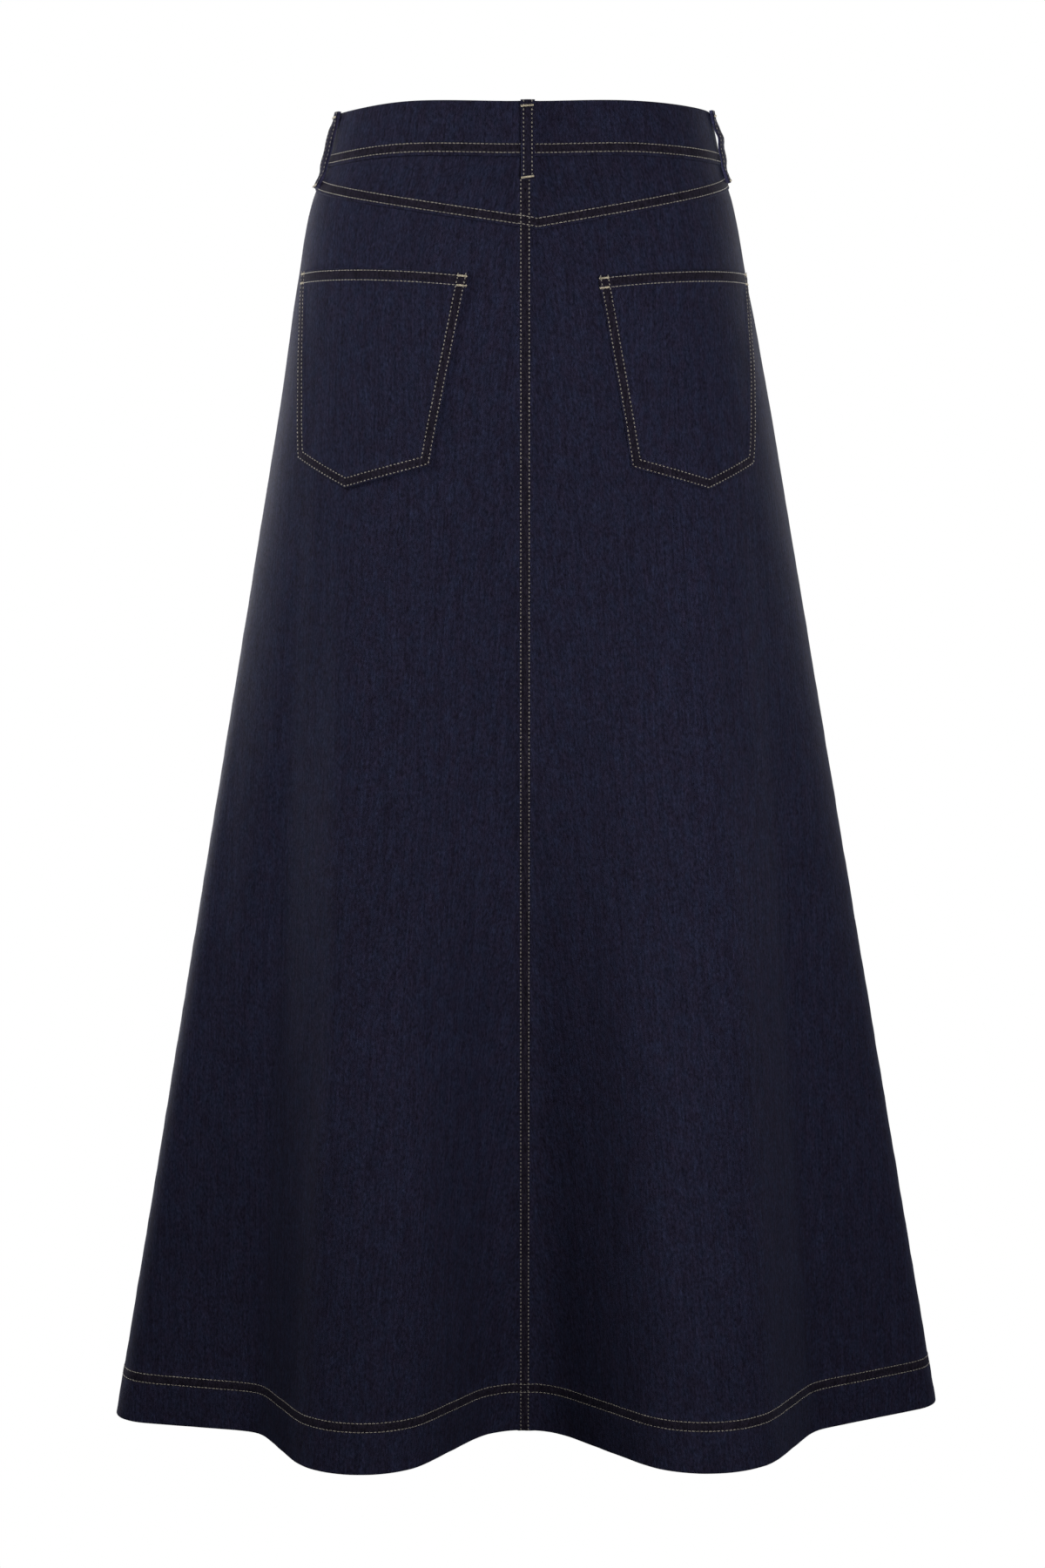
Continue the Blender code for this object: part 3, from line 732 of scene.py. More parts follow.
def make_allowance(name, seam, materials):
    """The allowances of a side seam, pressed together inside it from the waistband to the hem."""
    across, height = np.meshgrid(np.linspace(-ALLOWANCE / 2, ALLOWANCE / 2, 9),
                                 np.linspace(float(band_seam(seam)) - 0.001, HEM_HEIGHT + 0.0015, 180))
    turned_up = smoothstep(HEM_DEPTH + 0.006, HEM_DEPTH + 0.001, height - HEM_HEIGHT)
    face = -between(CLOTH, HEM_CLOTH, turned_up) - SEAM_GAP
    item = shell(name, seam + across / mean_length(height), height, face, face - ALLOWANCE_CLOTH,
                 (across + seam, height), np.zeros_like(height), materials)
    dress(item, "denim")


def make_yoke(name, quarter, materials):
    """One half of the back yoke, its lower edge folded over the panel."""
    columns = line_plan(EDGE_LINES, EDGE_LINES, 36)
    rows = line_plan(EDGE_LINES[:12], EDGE_LINES[:16], 6)
    low = np.full(len(columns[0]), BAND_SEAM)
    for _ in range(3):
        turn = lay_across(quarter, low, columns)[1]
        low = yoke_edge(quarter, turn) - EDGE_LAP
    top = band_seam(turn) - SEAM_GAP
    height = lay_rows(top, low, rows)
    across, turn, length, from_edge = lay_across(quarter, height, columns)
    above = height - low
    right = into_right(turn, height)
    lift = yoke_lift(quarter, turn, height) - edge_drop(above, FOLD_ROLL) - edge_drop(from_edge, SEAM_ROLL)
    beside = np.where(across < -SEAM_GAP / 2, YOKE_LIFT + LAP_CLEAR, -CLOTH)
    inner = np.where(height < yoke_edge(quarter, turn), lap_rise(right) + LAP_CLEAR, beside)
    inner = np.minimum(inner, lift - LEAST_WALL)
    seam = np.maximum(strip_shade(above, YOKE_ROWS), strip_shade(right, CENTRE_ROWS))
    grain = (across - length / 2 + quarter + YOKE_WEAVE, height)
    item = shell(name, turn, height, lift, inner, grain, seam, materials)
    dress(item, "denim", name)


def make_waistband(name, materials):
    """The waistband, one folded strip from the centre front round the back to the front."""
    start, stop = 2 + BAND_END_GAP, 6 - BAND_END_GAP
    length = float(mean_length(0.0))
    columns = line_plan(EDGE_LINES, EDGE_LINES, 170)
    rows = line_plan(EDGE_LINES[:14], EDGE_LINES[:16], 5)
    turn = start + lay_lines(0.0, (stop - start) * length, columns) / length
    top = waist_edge(turn)
    low = band_seam(turn) - EDGE_LAP
    height = lay_rows(top, low, rows)
    turn = np.broadcast_to(turn, height.shape)
    from_edge = np.minimum(turn - start, stop - turn) * length
    lift = band_lift(turn, height) - BAND_TUCK * smoothstep(start + 0.10, start + 0.02, turn)
    lift = lift - edge_drop(height - low, FOLD_ROLL) - edge_drop(top - height, BAND_ROLL)
    lift = lift - edge_drop(from_edge, FOLD_ROLL)
    over_yoke = height < band_seam(turn)
    inner = np.where(over_yoke, YOKE_LIFT + seam_bump(turn, height) + LAP_CLEAR, BAND_LIFT - BAND_CLOTH)
    inner = np.minimum(inner, lift - 2 * LEAST_WALL)
    seam = strip_shade(height - band_seam(turn), BAND_ROWS)
    grain = ((turn - 4.0) * length, height + BAND_WEAVE)
    item = shell(name, turn, height, lift, inner, grain, seam, materials)
    dress(item, "denim", name)


def mouth_rise(share):
    """How far a pocket's mouth arches above the straight line between its ends."""
    return POCKET_ARCH * (1 - (2 * share - 1) ** 2)


def pocket_grid(corners, share_across, share_down):
    """Across and height of a pocket's points: an arched mouth and a pointed lower edge."""
    mouth_in, mouth_out, bottom_out, point, bottom_in = (np.array(corner) for corner in corners)
    s, t = share_across[..., None], share_down[..., None]
    mouth = between(mouth_in, mouth_out, s)
    mouth[..., 1] += mouth_rise(share_across)
    bottom = np.where(s < 0.5, between(bottom_in, point, 2 * s), between(point, bottom_out, 2 * s - 1))
    grid = between(mouth, bottom, t)
    return grid[..., 0], grid[..., 1]


def pocket_outline(corners):
    """A pocket's corners, from the inner end of its mouth down and round to the outer end."""
    mouth_in, *others = (np.array(corner) for corner in corners)
    return [mouth_in, *others[::-1]]


def pocket_outlines():
    """Each pocket's quarter, its outline and the width of its mouth."""
    outlines = [(quarter, pocket_outline(corners)) for _, quarter, *corners in POCKETS]
    return [(quarter, outline, np.linalg.norm(outline[-1] - outline[0])) for quarter, outline in outlines]


def outline_sides(outline):
    """Each side of a closed outline: its start, its direction and the direction inwards."""
    middle = sum(outline) / len(outline)
    sides = []
    for start, stop in zip(outline, outline[1:] + outline[:1]):
        along = (stop - start) / np.linalg.norm(stop - start)
        inward = np.array((-along[1], along[0]))
        sides.append((start, along, inward * np.sign(inward @ (middle - start))))
    return sides


def side_distances(outline, across, height):
    """Distances in from a pocket's mouth and from the nearest of its other sides."""
    *sides, mouth = ((across - start[0]) * inward[0] + (height - start[1]) * inward[1]
                     for start, _, inward in outline_sides(outline))
    mouth_in, mouth_out = outline[0], outline[-1]
    share = np.clip((across - mouth_in[0]) / (mouth_out[0] - mouth_in[0]), 0.0, 1.0)
    return mouth + mouth_rise(share), np.minimum.reduce(sides)


def mouth_gape(mouth, side):
    """How far a pocket's mouth stands open, from 0 at its ends to 1."""
    return bell(mouth, GAPE_REACH) * smoothstep(0.004, 0.040, side)


def pocket_lift(mouth, side):
    """The outer face of a pocket, by the distances from its mouth and other sides."""
    fold = POCKET_FOLD_RISE * fold_share(np.minimum(mouth, side))
    dip = press(side, *POCKET_ROWS) + press(mouth, *MOUTH_ROWS)
    return SEAM_GAP + POCKET_CLOTH + fold + GAPE_FACES[1] * mouth_gape(mouth, side) + dip


def pocket_turn(quarter, across, height):
    """The turn of a point on a pocket, across being measured from the centre back."""
    share = across / cloth_length(quarter, height)
    return quarter + (share if quarter == 0 else 1 - share)


def make_pocket(name, quarter, corners, materials):
    """A patch pocket with folded edges, its mouth standing a little open."""
    outline = pocket_outline(corners)
    width, depth = (float(np.linalg.norm(outline[end] - outline[0])) for end in (-1, 1))
    share_across, share_down = (
        np.clip(lay_lines(0.0, size, line_plan(EDGE_LINES, EDGE_LINES, lines)) / size, 0.0, 1.0)
        for size, lines in ((width, 35), (depth, 30)))
    if quarter == 3:
        share_across = share_across[::-1]
    across, height = pocket_grid(corners, *np.meshgrid(share_across, share_down))
    mouth, side = side_distances(outline, across, height)
    edge = np.maximum(np.minimum(mouth, side), 0.0)
    ripple = EDGE_RIPPLE * bell(edge, 0.006) * wobble(across + height, 0.010, 1.3 + quarter)
    lift = pocket_lift(mouth, side) + ripple - edge_drop(edge, FOLD_ROLL)
    inner = 0.8 * SEAM_GAP + GAPE_FACES[0] * mouth_gape(mouth, side)
    inner = np.minimum(inner, lift - 1.5 * LEAST_WALL)
    seam = np.maximum(strip_shade(side, POCKET_ROWS), strip_shade(mouth, POCKET_ROWS))
    warp_across = across if quarter == 0 else -across
    grain = (warp_across + quarter + POCKET_WEAVE, height)
    item = shell(name, pocket_turn(quarter, across, height), height, lift, inner, grain, seam, materials)
    dress(item, "denim", name)


def loop_form(loop, down, across=0.0):
    """The clear space under a loop and the thickness of its wall, at shares of its length.

    A loop is its turn, its length, how far it stands off, how much further at its crest, and
    how much it leans, with one edge on the cloth and the other off it.
    """
    _, reach, stand, crest, lean = loop
    rising, risen, falling, fallen = LOOP_SEWN
    free = smoothstep(rising, risen, down) * smoothstep(fallen, falling, down)
    leaning = abs(lean) * LOOP_WIDTH / 2 + lean * across
    clear = free * (stand + crest * bell(down - LOOP_CREST, CREST_REACH) + leaning)
    folded = smoothstep(LOOP_FOLDED[1], LOOP_FOLDED[0], np.minimum(down, 1 - down) * reach)
    return clear, LOOP_CLOTH + LOOP_FOLD * folded


def loop_lift(loop, down, height, across=0.0):
    """The lift of a loop's face."""
    on_band, on_yoke = BAND_LIFT + FOLD_RISE, YOKE_LIFT + 0.0004
    base = between(on_band, on_yoke, smoothstep(0.62, 0.80, down))
    return base + seam_bump(loop[0], height) + SEAM_GAP + sum(loop_form(loop, down, across))


def make_belt_loop(name, loop, materials):
    """A strip with its ends folded under and sewn down, standing off the waistband between."""
    loop_turn, reach, *_ = loop
    across, down = np.meshgrid(lay_lines(0.0, LOOP_WIDTH, line_plan(SHORT_LINES, SHORT_LINES, 3)),
                               lay_lines(0.0, reach, line_plan(SHORT_LINES, SHORT_LINES, 32)) / reach)
    height = waist_edge(loop_turn) - reach * down
    off_middle = across - LOOP_WIDTH / 2
    turn = loop_turn + off_middle / cloth_length(int(loop_turn), height)
    face = loop_lift(loop, down, height, off_middle)
    inner = face - loop_form(loop, down)[1]
    crown = LOOP_CROWN * np.sin(math.pi * across / LOOP_WIDTH)
    lift = face + crown + press(np.abs(off_middle), LOOP_ROW)
    lift = lift - edge_drop(np.minimum(across, LOOP_WIDTH - across), SEAM_ROLL)
    lift = lift - edge_drop(np.minimum(down, 1 - down) * reach, FOLD_ROLL)
    seam = 0.6 * strip_shade(off_middle, (-LOOP_ROW, LOOP_ROW))
    item = shell(name, turn, height, lift, inner, (across + loop_turn, height), seam, materials)
    dress(item, "denim", name)


def make_button(name, material):
    """A domed shank button with a rolled rim and a beaded ring round a plain middle."""
    face = BUTTON_RADIUS
    #   radius        height above the band
    profile = (
        (0.0,         0.0042), (0.18 * face, 0.0042), (0.36 * face, 0.0041), (0.42 * face, 0.0038),
        (0.48 * face, 0.0037), (0.66 * face, 0.0037), (0.72 * face, 0.0039), (0.80 * face, 0.0045),
        (0.88 * face, 0.0046), (0.96 * face, 0.0042), (face,        0.0034), (0.99 * face, 0.0026),
        (0.93 * face, 0.0020), (0.80 * face, 0.0017), (0.42 * face, 0.0015), (0.38 * face, 0.0010),
        (0.38 * face, 0.0002), (0.0,         0.0002),
    )
    bead_ring, bead_height, bead_radius, beads = 0.57 * face, 0.0037, 0.0005, 20
    bm = bmesh.new()
    points = [bm.verts.new((radius, 0.0, height)) for radius, height in profile]
    edges = [bm.edges.new(pair) for pair in zip(points, points[1:])]
    bmesh.ops.spin(bm, geom=points + edges, cent=(0, 0, 0), axis=(0, 0, 1), angle=2 * math.pi, steps=48)
    bmesh.ops.remove_doubles(bm, verts=bm.verts[:], dist=0.00002)
    for step in range(beads):
        angle = 2 * math.pi * step / beads
        place = Matrix.Translation((bead_ring * math.cos(angle), bead_ring * math.sin(angle), bead_height))
        bmesh.ops.create_uvsphere(bm, u_segments=8, v_segments=6, radius=bead_radius, matrix=place)
    height = band_rise(2.0)
    turn = 1 + (quarter_length(1, height) - BUTTON_FROM_EDGE) / cloth_length(1, height)
    foot, outward = cloth_point(np.array(turn), np.array(height), np.array(BAND_LIFT + 0.0005))
    outward = Vector(outward)
    sideways = Vector((0.0, 0.0, 1.0)).cross(outward).normalized()
    axes = Matrix((sideways, outward.cross(sideways).normalized(), outward)).transposed().to_4x4()
    axes.translation = Vector(foot)
    bmesh.ops.transform(bm, matrix=axes, verts=bm.verts[:])
    bmesh.ops.recalc_face_normals(bm, faces=bm.faces[:])
    item = mesh_object(name, bm, material)
    item.data.shade_smooth()
    item.data.set_sharp_from_angle(angle=math.radians(40))
    dress(item, "button_metal", name)


# Stitches ---------------------------------------------------------------------------
def even_steps(length, step=STITCH_STEP):
    """Shares of a length in even steps, from 0 to 1."""
    return np.linspace(0.0, 1.0, max(3, int(length / step) + 1))


def add_node(tree, kind, inputs=(), **settings):
    """A new node with its settings, its inputs joined to sockets or given values."""
    node = tree.nodes.new(kind)
    for key, value in settings.items():
        setattr(node, key, value)
    for key, value in dict(inputs).items():
        if isinstance(value, bpy.types.NodeSocket):
            tree.links.new(value, node.inputs[key])
        else:
            node.inputs[key].default_value = value
    return node


def stitch_tree():
    """A node tree that lays a thread stitch at every pitch along guide lines."""
    tree = bpy.data.node_groups.new("stitch_rows", "GeometryNodeTree")
    tree.interface.new_socket("Geometry", in_out="INPUT", socket_type="NodeSocketGeometry")
    for name, size in (("Pitch", 0.003), ("Length", 0.0024), ("Width", 0.0006), ("Height", 0.0005)):
        socket = tree.interface.new_socket(name, in_out="INPUT", socket_type="NodeSocketFloat")
        socket.default_value = size
        socket.subtype = "DISTANCE"
    tree.interface.new_socket("Thread", in_out="INPUT", socket_type="NodeSocketMaterial")
    tree.interface.new_socket("Geometry", in_out="OUTPUT", socket_type="NodeSocketGeometry")

    def add(kind, inputs=(), output=0, **settings):
        return add_node(tree, kind, inputs, **settings).outputs[output]

    given = add_node(tree, "NodeGroupInput").outputs
    curve = add("GeometryNodeMeshToCurve", {"Mesh": given["Geometry"]})
    laid = add_node(tree, "GeometryNodeCurveToPoints", {"Curve": curve, "Length": given["Pitch"]},
                    mode="LENGTH").outputs
    outward = add("GeometryNodeInputNamedAttribute", {"Name": "outward"}, "Attribute",
                  data_type="FLOAT_VECTOR")
    along = add("FunctionNodeAlignRotationToVector", {"Vector": laid["Tangent"]}, axis="X")
    upright = add("FunctionNodeAlignRotationToVector", {"Rotation": along, "Vector": outward},
                  axis="Z", pivot_axis="X")
    tilt = add("FunctionNodeRandomValue", {"Min": (-0.05, -0.03, -0.09), "Max": (0.05, 0.03, 0.09),
                                           "Seed": 3}, "Value", data_type="FLOAT_VECTOR")
    tilted = add("FunctionNodeEulerToRotation", {"Euler": tilt})
    turned = add("FunctionNodeRotateRotation", {"Rotation": upright, "Rotate By": tilted},
                 rotation_space="LOCAL")
    thread = add("GeometryNodeMeshUVSphere", {"Segments": 6, "Rings": 4, "Radius": 0.5}, "Mesh")
    lying = add("GeometryNodeTransform", {"Geometry": thread, "Rotation": (0.0, math.pi / 2, 0.0)})
    uneven = add("FunctionNodeRandomValue", {"Min": (0.90, 0.90, 0.85), "Max": (1.08, 1.12, 1.15),
                                             "Seed": 8}, "Value", data_type="FLOAT_VECTOR")
    size = add("ShaderNodeCombineXYZ", {"X": given["Length"], "Y": given["Width"], "Z": given["Height"]})
    scaled = add("ShaderNodeVectorMath", {0: size, 1: uneven}, operation="MULTIPLY")
    placed = add("GeometryNodeInstanceOnPoints", {"Points": laid["Points"], "Instance": lying,
                                                  "Rotation": turned, "Scale": scaled})
    real = add("GeometryNodeRealizeInstances", {"Geometry": placed})
    smooth = add("GeometryNodeSetShadeSmooth", {"Geometry": real})
    finished = add("GeometryNodeSetMaterial", {"Geometry": smooth, "Material": given["Thread"]})
    add_node(tree, "NodeGroupOutput", {"Geometry": finished})
    return tree


def sew(name, lines, thread, pitch, length, width, height):
    """Run stitches along lines, each a pair of arrays: points and outward directions."""
    points, edges, outward = [], [], []
    for line_points, line_outward in lines:
        first = len(points)
        points.extend(line_points.tolist())
        outward.extend(line_outward.tolist())
        edges.extend((step, step + 1) for step in range(first, len(points) - 1))
    mesh = bpy.data.meshes.new(name + "_guide")
    mesh.from_pydata(points, edges, [])
    attribute = mesh.attributes.new("outward", "FLOAT_VECTOR", "POINT")
    attribute.data.foreach_set("vector", np.array(outward, np.float32).ravel())
    guide = add_object(name + "_guide", mesh)
    tree = bpy.data.node_groups.get("stitch_rows") or stitch_tree()
    laid = guide.modifiers.new("stitches", "NODES")
    laid.node_group = tree
    values = {"Pitch": pitch, "Length": length, "Width": width, "Height": height, "Thread": thread}
    for socket in tree.interface.items_tree:
        if socket.in_out == "INPUT" and socket.name in values:
            laid[socket.identifier] = values[socket.name]
    depsgraph = bpy.context.evaluated_depsgraph_get()
    made = bpy.data.meshes.new_from_object(guide.evaluated_get(depsgraph), depsgraph=depsgraph)
    made.name = name
    bpy.data.objects.remove(guide, do_unlink=True)
    dress(add_object(name, made), "thread")


def thread_line(turn, height, lift):
    """A line of stitches on the cloth."""
    turn, height, lift = np.broadcast_arrays(turn, height, lift)
    return cloth_point(turn, height, lift + THREAD_SUNK * bpy.context.scene.skirt_sizes.thread_height)


def centre_line(seam, offset, top, low, lift):
    """A row beside a centre seam, from a height down to a lower one."""
    height = between(top, low, even_steps(top - low))
    side = 1.0 if seam == 0.0 else -1.0
    turn = seam + side * offset / mean_length(height)
    return thread_line(turn, height, lift(turn, height))


def hem_edge(turn):
    """The height of the hem."""
    return np.full_like(turn, HEM_HEIGHT)


def girdle_line(start, stop, edge, above, lift):
    """A row round the skirt between two turns, a distance above an edge."""
    turn = between(start, stop, even_steps(abs(stop - start) * 0.4))
    height = edge(turn) + above
    return thread_line(turn, height, lift(turn, height))


def inset_corners(outline, distance):
    """A pocket's outline moved in, its mouth apart: the points from mouth to mouth."""
    *sides, (mouth_start, mouth_along, _) = outline_sides(outline)
    mouth = (mouth_start, mouth_along)
    lines = [mouth, *((start + inward * distance, along) for start, along, inward in sides), mouth]
    corners = []
    for (first, along), (second, other) in zip(lines, lines[1:]):
        reach = np.linalg.solve(np.column_stack((along, -other)), second - first)[0]
        corners.append(first + along * reach)
    return corners


def on_pocket(quarter, outline, points):
    """A line of stitches through points on a pocket, each its distance across and its height."""
    across, height = points.T
    lift = pocket_lift(*side_distances(outline, across, height))
    return thread_line(pocket_turn(quarter, across, height), height, lift)


def pocket_line(quarter, outline, inset):
    """A row down and round a pocket's sides, from mouth to mouth."""
    corners = inset_corners(outline, inset)
    runs = [between(start, stop, even_steps(np.linalg.norm(stop - start))[:, None])[:-1]
            for start, stop in zip(corners, corners[1:])]
    return on_pocket(quarter, outline, np.vstack((*runs, corners[-1])))


def mouth_line(quarter, outline, distance, start, stop):
    """A row below a pocket's mouth, between two distances from its inner end."""
    across_mouth = outline[-1] - outline[0]
    width = np.linalg.norm(across_mouth)
    along = across_mouth / width
    down = np.array((along[1], -along[0]))
    run = between(start, stop, even_steps(stop - start, MOUTH_STEP))
    points = outline[0] + along * run[:, None] + down * distance
    points[:, 1] += mouth_rise(run / width)
    return on_pocket(quarter, outline, points)


def loop_line(loop, offset, start, stop):
    """A row down a belt loop, a distance off its middle and between two shares of its length."""
    down = between(start, stop, even_steps(loop[1] * abs(stop - start) + 0.004, LOOP_STEP))
    height = waist_edge(loop[0]) - loop[1] * down
    lift = loop_lift(loop, down, height, offset)
    return thread_line(loop[0] + offset / mean_length(height), height, lift)


def tack_line(loop, down, slant):
    """A bar across a belt loop, its right end higher by the slant."""
    offset = np.linspace(*TACK_WIDTH, 12) * LOOP_WIDTH
    height = waist_edge(loop[0]) - loop[1] * down + slant * offset / LOOP_WIDTH
    lift = loop_lift(loop, np.full_like(offset, down), height) + 0.0004
    return thread_line(loop[0] + offset / mean_length(height), height, lift)


def fly_line(inset):
    """A row of the fly's stitching on the right front, curving in to the front seam."""
    width = FLY_WIDTH - inset
    top = band_seam(2.0)
    low = top - FLY_LENGTH + inset
    bend = np.linspace(0.0, math.pi / 2, 12)
    across = np.concatenate(([width], width * np.cos(bend)))
    height = np.concatenate(([top - 0.001], low + 1.4 * width * (1 - np.sin(bend))))
    across, height = even_points(np.column_stack((across, height)), last=True).T
    turn = 2.0 - across / mean_length(height)
    return thread_line(turn, height, panel_lift(turn, height))


# Materials --------------------------------------------------------------------------
class Nodes:
    """A material's node tree, with short ways to add and join nodes."""

    def __init__(self, name):
        self.material = bpy.data.materials.new(name)
        self.material.use_nodes = True
        self.tree = self.material.node_tree
        self.shader = self.tree.nodes["Principled BSDF"]

    def add(self, kind, inputs=(), output=0, **settings):
        return add_node(self.tree, kind, inputs, **settings).outputs[output]

    def noise(self, place, scale, detail=2.0, roughness=0.55):
        """A noise from 0 to 1, with its own scale on each axis."""
        spread = self.add("ShaderNodeMapping", {"Vector": place, "Scale": scale, "Rotation": (0.7, 0.5, 0.4)})
        return self.add("ShaderNodeTexNoise", {"Vector": spread, "Scale": 1.0, "Detail": detail,
                                               "Roughness": roughness}, "Fac")

    def span(self, value, low, high, start=0.3, stop=0.7):
        """A value between start and stop, spread over low to high."""
        return self.add("ShaderNodeMapRange", {"Value": value, "From Min": start, "From Max": stop,
                                               "To Min": low, "To Max": high})

    def math(self, operation, first, second):
        return self.add("ShaderNodeMath", {0: first, 1: second}, operation=operation)

    def mix(self, share, first, second):
        return self.add("ShaderNodeMix", {0: share, 6: first, 7: second}, 2, data_type="RGBA")

    def shaded(self, colour, tone):
        """A colour made lighter or darker."""
        return self.add("ShaderNodeVectorMath", {0: colour, "Scale": tone}, operation="SCALE")

    def set(self, **sockets):
        """Set the shader's sockets by name."""
        for key, value in sockets.items():
            self.shader.inputs[key.replace("_", " ")].default_value = value

    def finish(self, colour, bump, depth, strength, **sockets):
        """Join a colour and a bump to the shader, set its other sockets and give the material."""
        normal = self.add("ShaderNodeBump", {"Height": bump, "Distance": depth, "Strength": strength})
        self.tree.links.new(colour, self.shader.inputs["Base Color"])
        self.tree.links.new(normal, self.shader.inputs["Normal"])
        self.set(**sockets)
        return self.material


def denim_material(name, colours, contrast, gloss, nap):
    """Twill with uneven yarns: slubs along the warp, flecks, and slow changes of shade."""
    base, cool, seam_tint = ((*colour, 1.0) for colour in colours)
    nodes = Nodes(name)
    grain = nodes.add("ShaderNodeUVMap", uv_map="grain")
    seam = nodes.add("ShaderNodeAttribute", (), "Fac", attribute_name="seam")
    turned = nodes.add("ShaderNodeMapping", {"Vector": grain, "Rotation": (0.0, 0.0, math.radians(28))})
    twill = nodes.add("ShaderNodeTexWave", {"Vector": turned, "Scale": 370.0, "Distortion": 0.6,
                                            "Detail": 1.0, "Detail Scale": 2.0}, "Fac", bands_direction="X")
    shades = nodes.noise(grain, (9.0, 5.0, 1.0))
    swing = TWILL_SWING * contrast
    tone = nodes.math("MULTIPLY", nodes.span(shades, 0.95, 1.05),
                      nodes.span(twill, 1 - swing, 1 + swing, 0.0, 1.0))
    made = {}
    for kind, across, along, detail, roughness, share in DENIM_NOISES:
        made[kind] = nodes.noise(grain, (across, along, 1.0), detail, roughness)
        swing = share * contrast
        tone = nodes.math("MULTIPLY", tone, nodes.span(made[kind], 1 - swing, 1 + swing))
    hue = nodes.mix(nodes.span(made["patches"], 0.0, 1.0, 0.35, 0.65), base, cool)
    hue = nodes.mix(seam, hue, seam_tint)
    weave = nodes.math("ADD", nodes.math("MULTIPLY", twill, 0.35), nodes.math("MULTIPLY", made["slubs"], 0.9))
    weave = nodes.math("ADD", weave, nodes.math("MULTIPLY", made["flecks"], 0.8))
    sheen = bpy.context.scene.skirt_colours.sheen
    return nodes.finish(nodes.shaded(hue, tone), weave, 0.0004, 0.55, Roughness=0.88,
                        Specular_IOR_Level=gloss, Sheen_Weight=sheen, Sheen_Roughness=NAP_ROUGHNESS,
                        Sheen_Tint=(*nap, 1.0))


def thread_material(name, colour):
    """Twisted sewing thread, a little lighter and darker from stitch to stitch."""
    nodes = Nodes(name)
    place = nodes.add("ShaderNodeTexCoord", (), "Object")
    uneven = nodes.noise(place, (260.0, 260.0, 260.0))
    fine = nodes.noise(place, (2400.0, 2400.0, 2400.0))
    tone = nodes.math("MULTIPLY", nodes.span(uneven, 0.72, 1.22), nodes.span(fine, 0.85, 1.12))
    return nodes.finish(nodes.shaded((*colour,), tone), fine, 0.0001, 0.5, Roughness=0.65,
                        Specular_IOR_Level=0.25, Sheen_Weight=0.15)


def metal_material(name, colour):
    """Brushed antique metal, darker and rougher in its dull patches."""
    nodes = Nodes(name)
    place = nodes.add("ShaderNodeTexCoord", (), "Object")
    patches = nodes.noise(place, (420.0, 420.0, 420.0), 4.0)
    fine = nodes.noise(place, (3200.0, 3200.0, 900.0))
    tone = nodes.span(patches, 0.62, 1.1)
    nodes.tree.links.new(nodes.span(patches, 0.48, 0.26), nodes.shader.inputs["Roughness"])
    return nodes.finish(nodes.shaded((*colour,), tone), fine, 0.00008, 0.3, Metallic=1.0)


def palette(name):
    """A finish by name, made once."""
    if name in bpy.data.materials:
        return bpy.data.materials[name]
    colours = bpy.context.scene.skirt_colours
    face = (colours.denim, colours.denim_cool, colours.seam)
    # The loops' rims get a lighter copy of the face colours: a painted highlight for the light their edges
    # catch
    painted_rim_shades = [[RIM_HIGHLIGHT_SHARE * part for part in shade] for shade in face]
    finishes = {
        "indigo_denim": (denim_material, face, 0.68, 0.03, BLUE_NAP),
        "worn_denim": (denim_material, painted_rim_shades, 0.5, 0.03, BLUE_NAP),
        "denim_reverse": (denim_material, 3 * [colours.reverse], 0.35, 0.15, PALE_NAP),
        "topstitch_thread": (thread_material, colours.thread),
        "bartack_thread": (thread_material, colours.bartack),
        "button_metal": (metal_material, colours.metal),
    }
    make, *looks = finishes[name]
    return make(name, *looks)


def cloth_finish():
    """The finishes of the cloth's face and its reverse."""
    return palette("indigo_denim"), palette("denim_reverse")


# Settings ---------------------------------------------------------------------------
class SkirtSizes(PropertyGroup):
    """Sizes of the sewing and the creases."""
    stitch_pitch: FloatProperty(
        name="Stitch pitch", description="From one stitch to the next", default=0.0030, unit="LENGTH")
    stitch_length: FloatProperty(
        name="Stitch length", description="Length of the thread that shows", default=0.0026, unit="LENGTH")
    short_stitch: FloatProperty(
        name="Short stitch", description="The same, on the upright rows", default=0.0017, unit="LENGTH")
    thread_width: FloatProperty(
        name="Thread width", description="Width of a topstitch", default=0.0008, unit="LENGTH")
    thread_height: FloatProperty(
        name="Thread height", description="Thickness of a topstitch", default=0.0005, unit="LENGTH")
    tack_pitch: FloatProperty(
        name="Bartack pitch", description="Between the threads of a bartack", default=0.00045, unit="LENGTH")
    tack_width: FloatProperty(
        name="Bartack width", description="Length of the threads of a bartack", default=0.0018, unit="LENGTH")
    crease_depth: FloatProperty(
        name="Crease depth", description="Share of the listed depth of the creases", default=1.0,
        min=0.0, max=2.0, subtype="FACTOR")


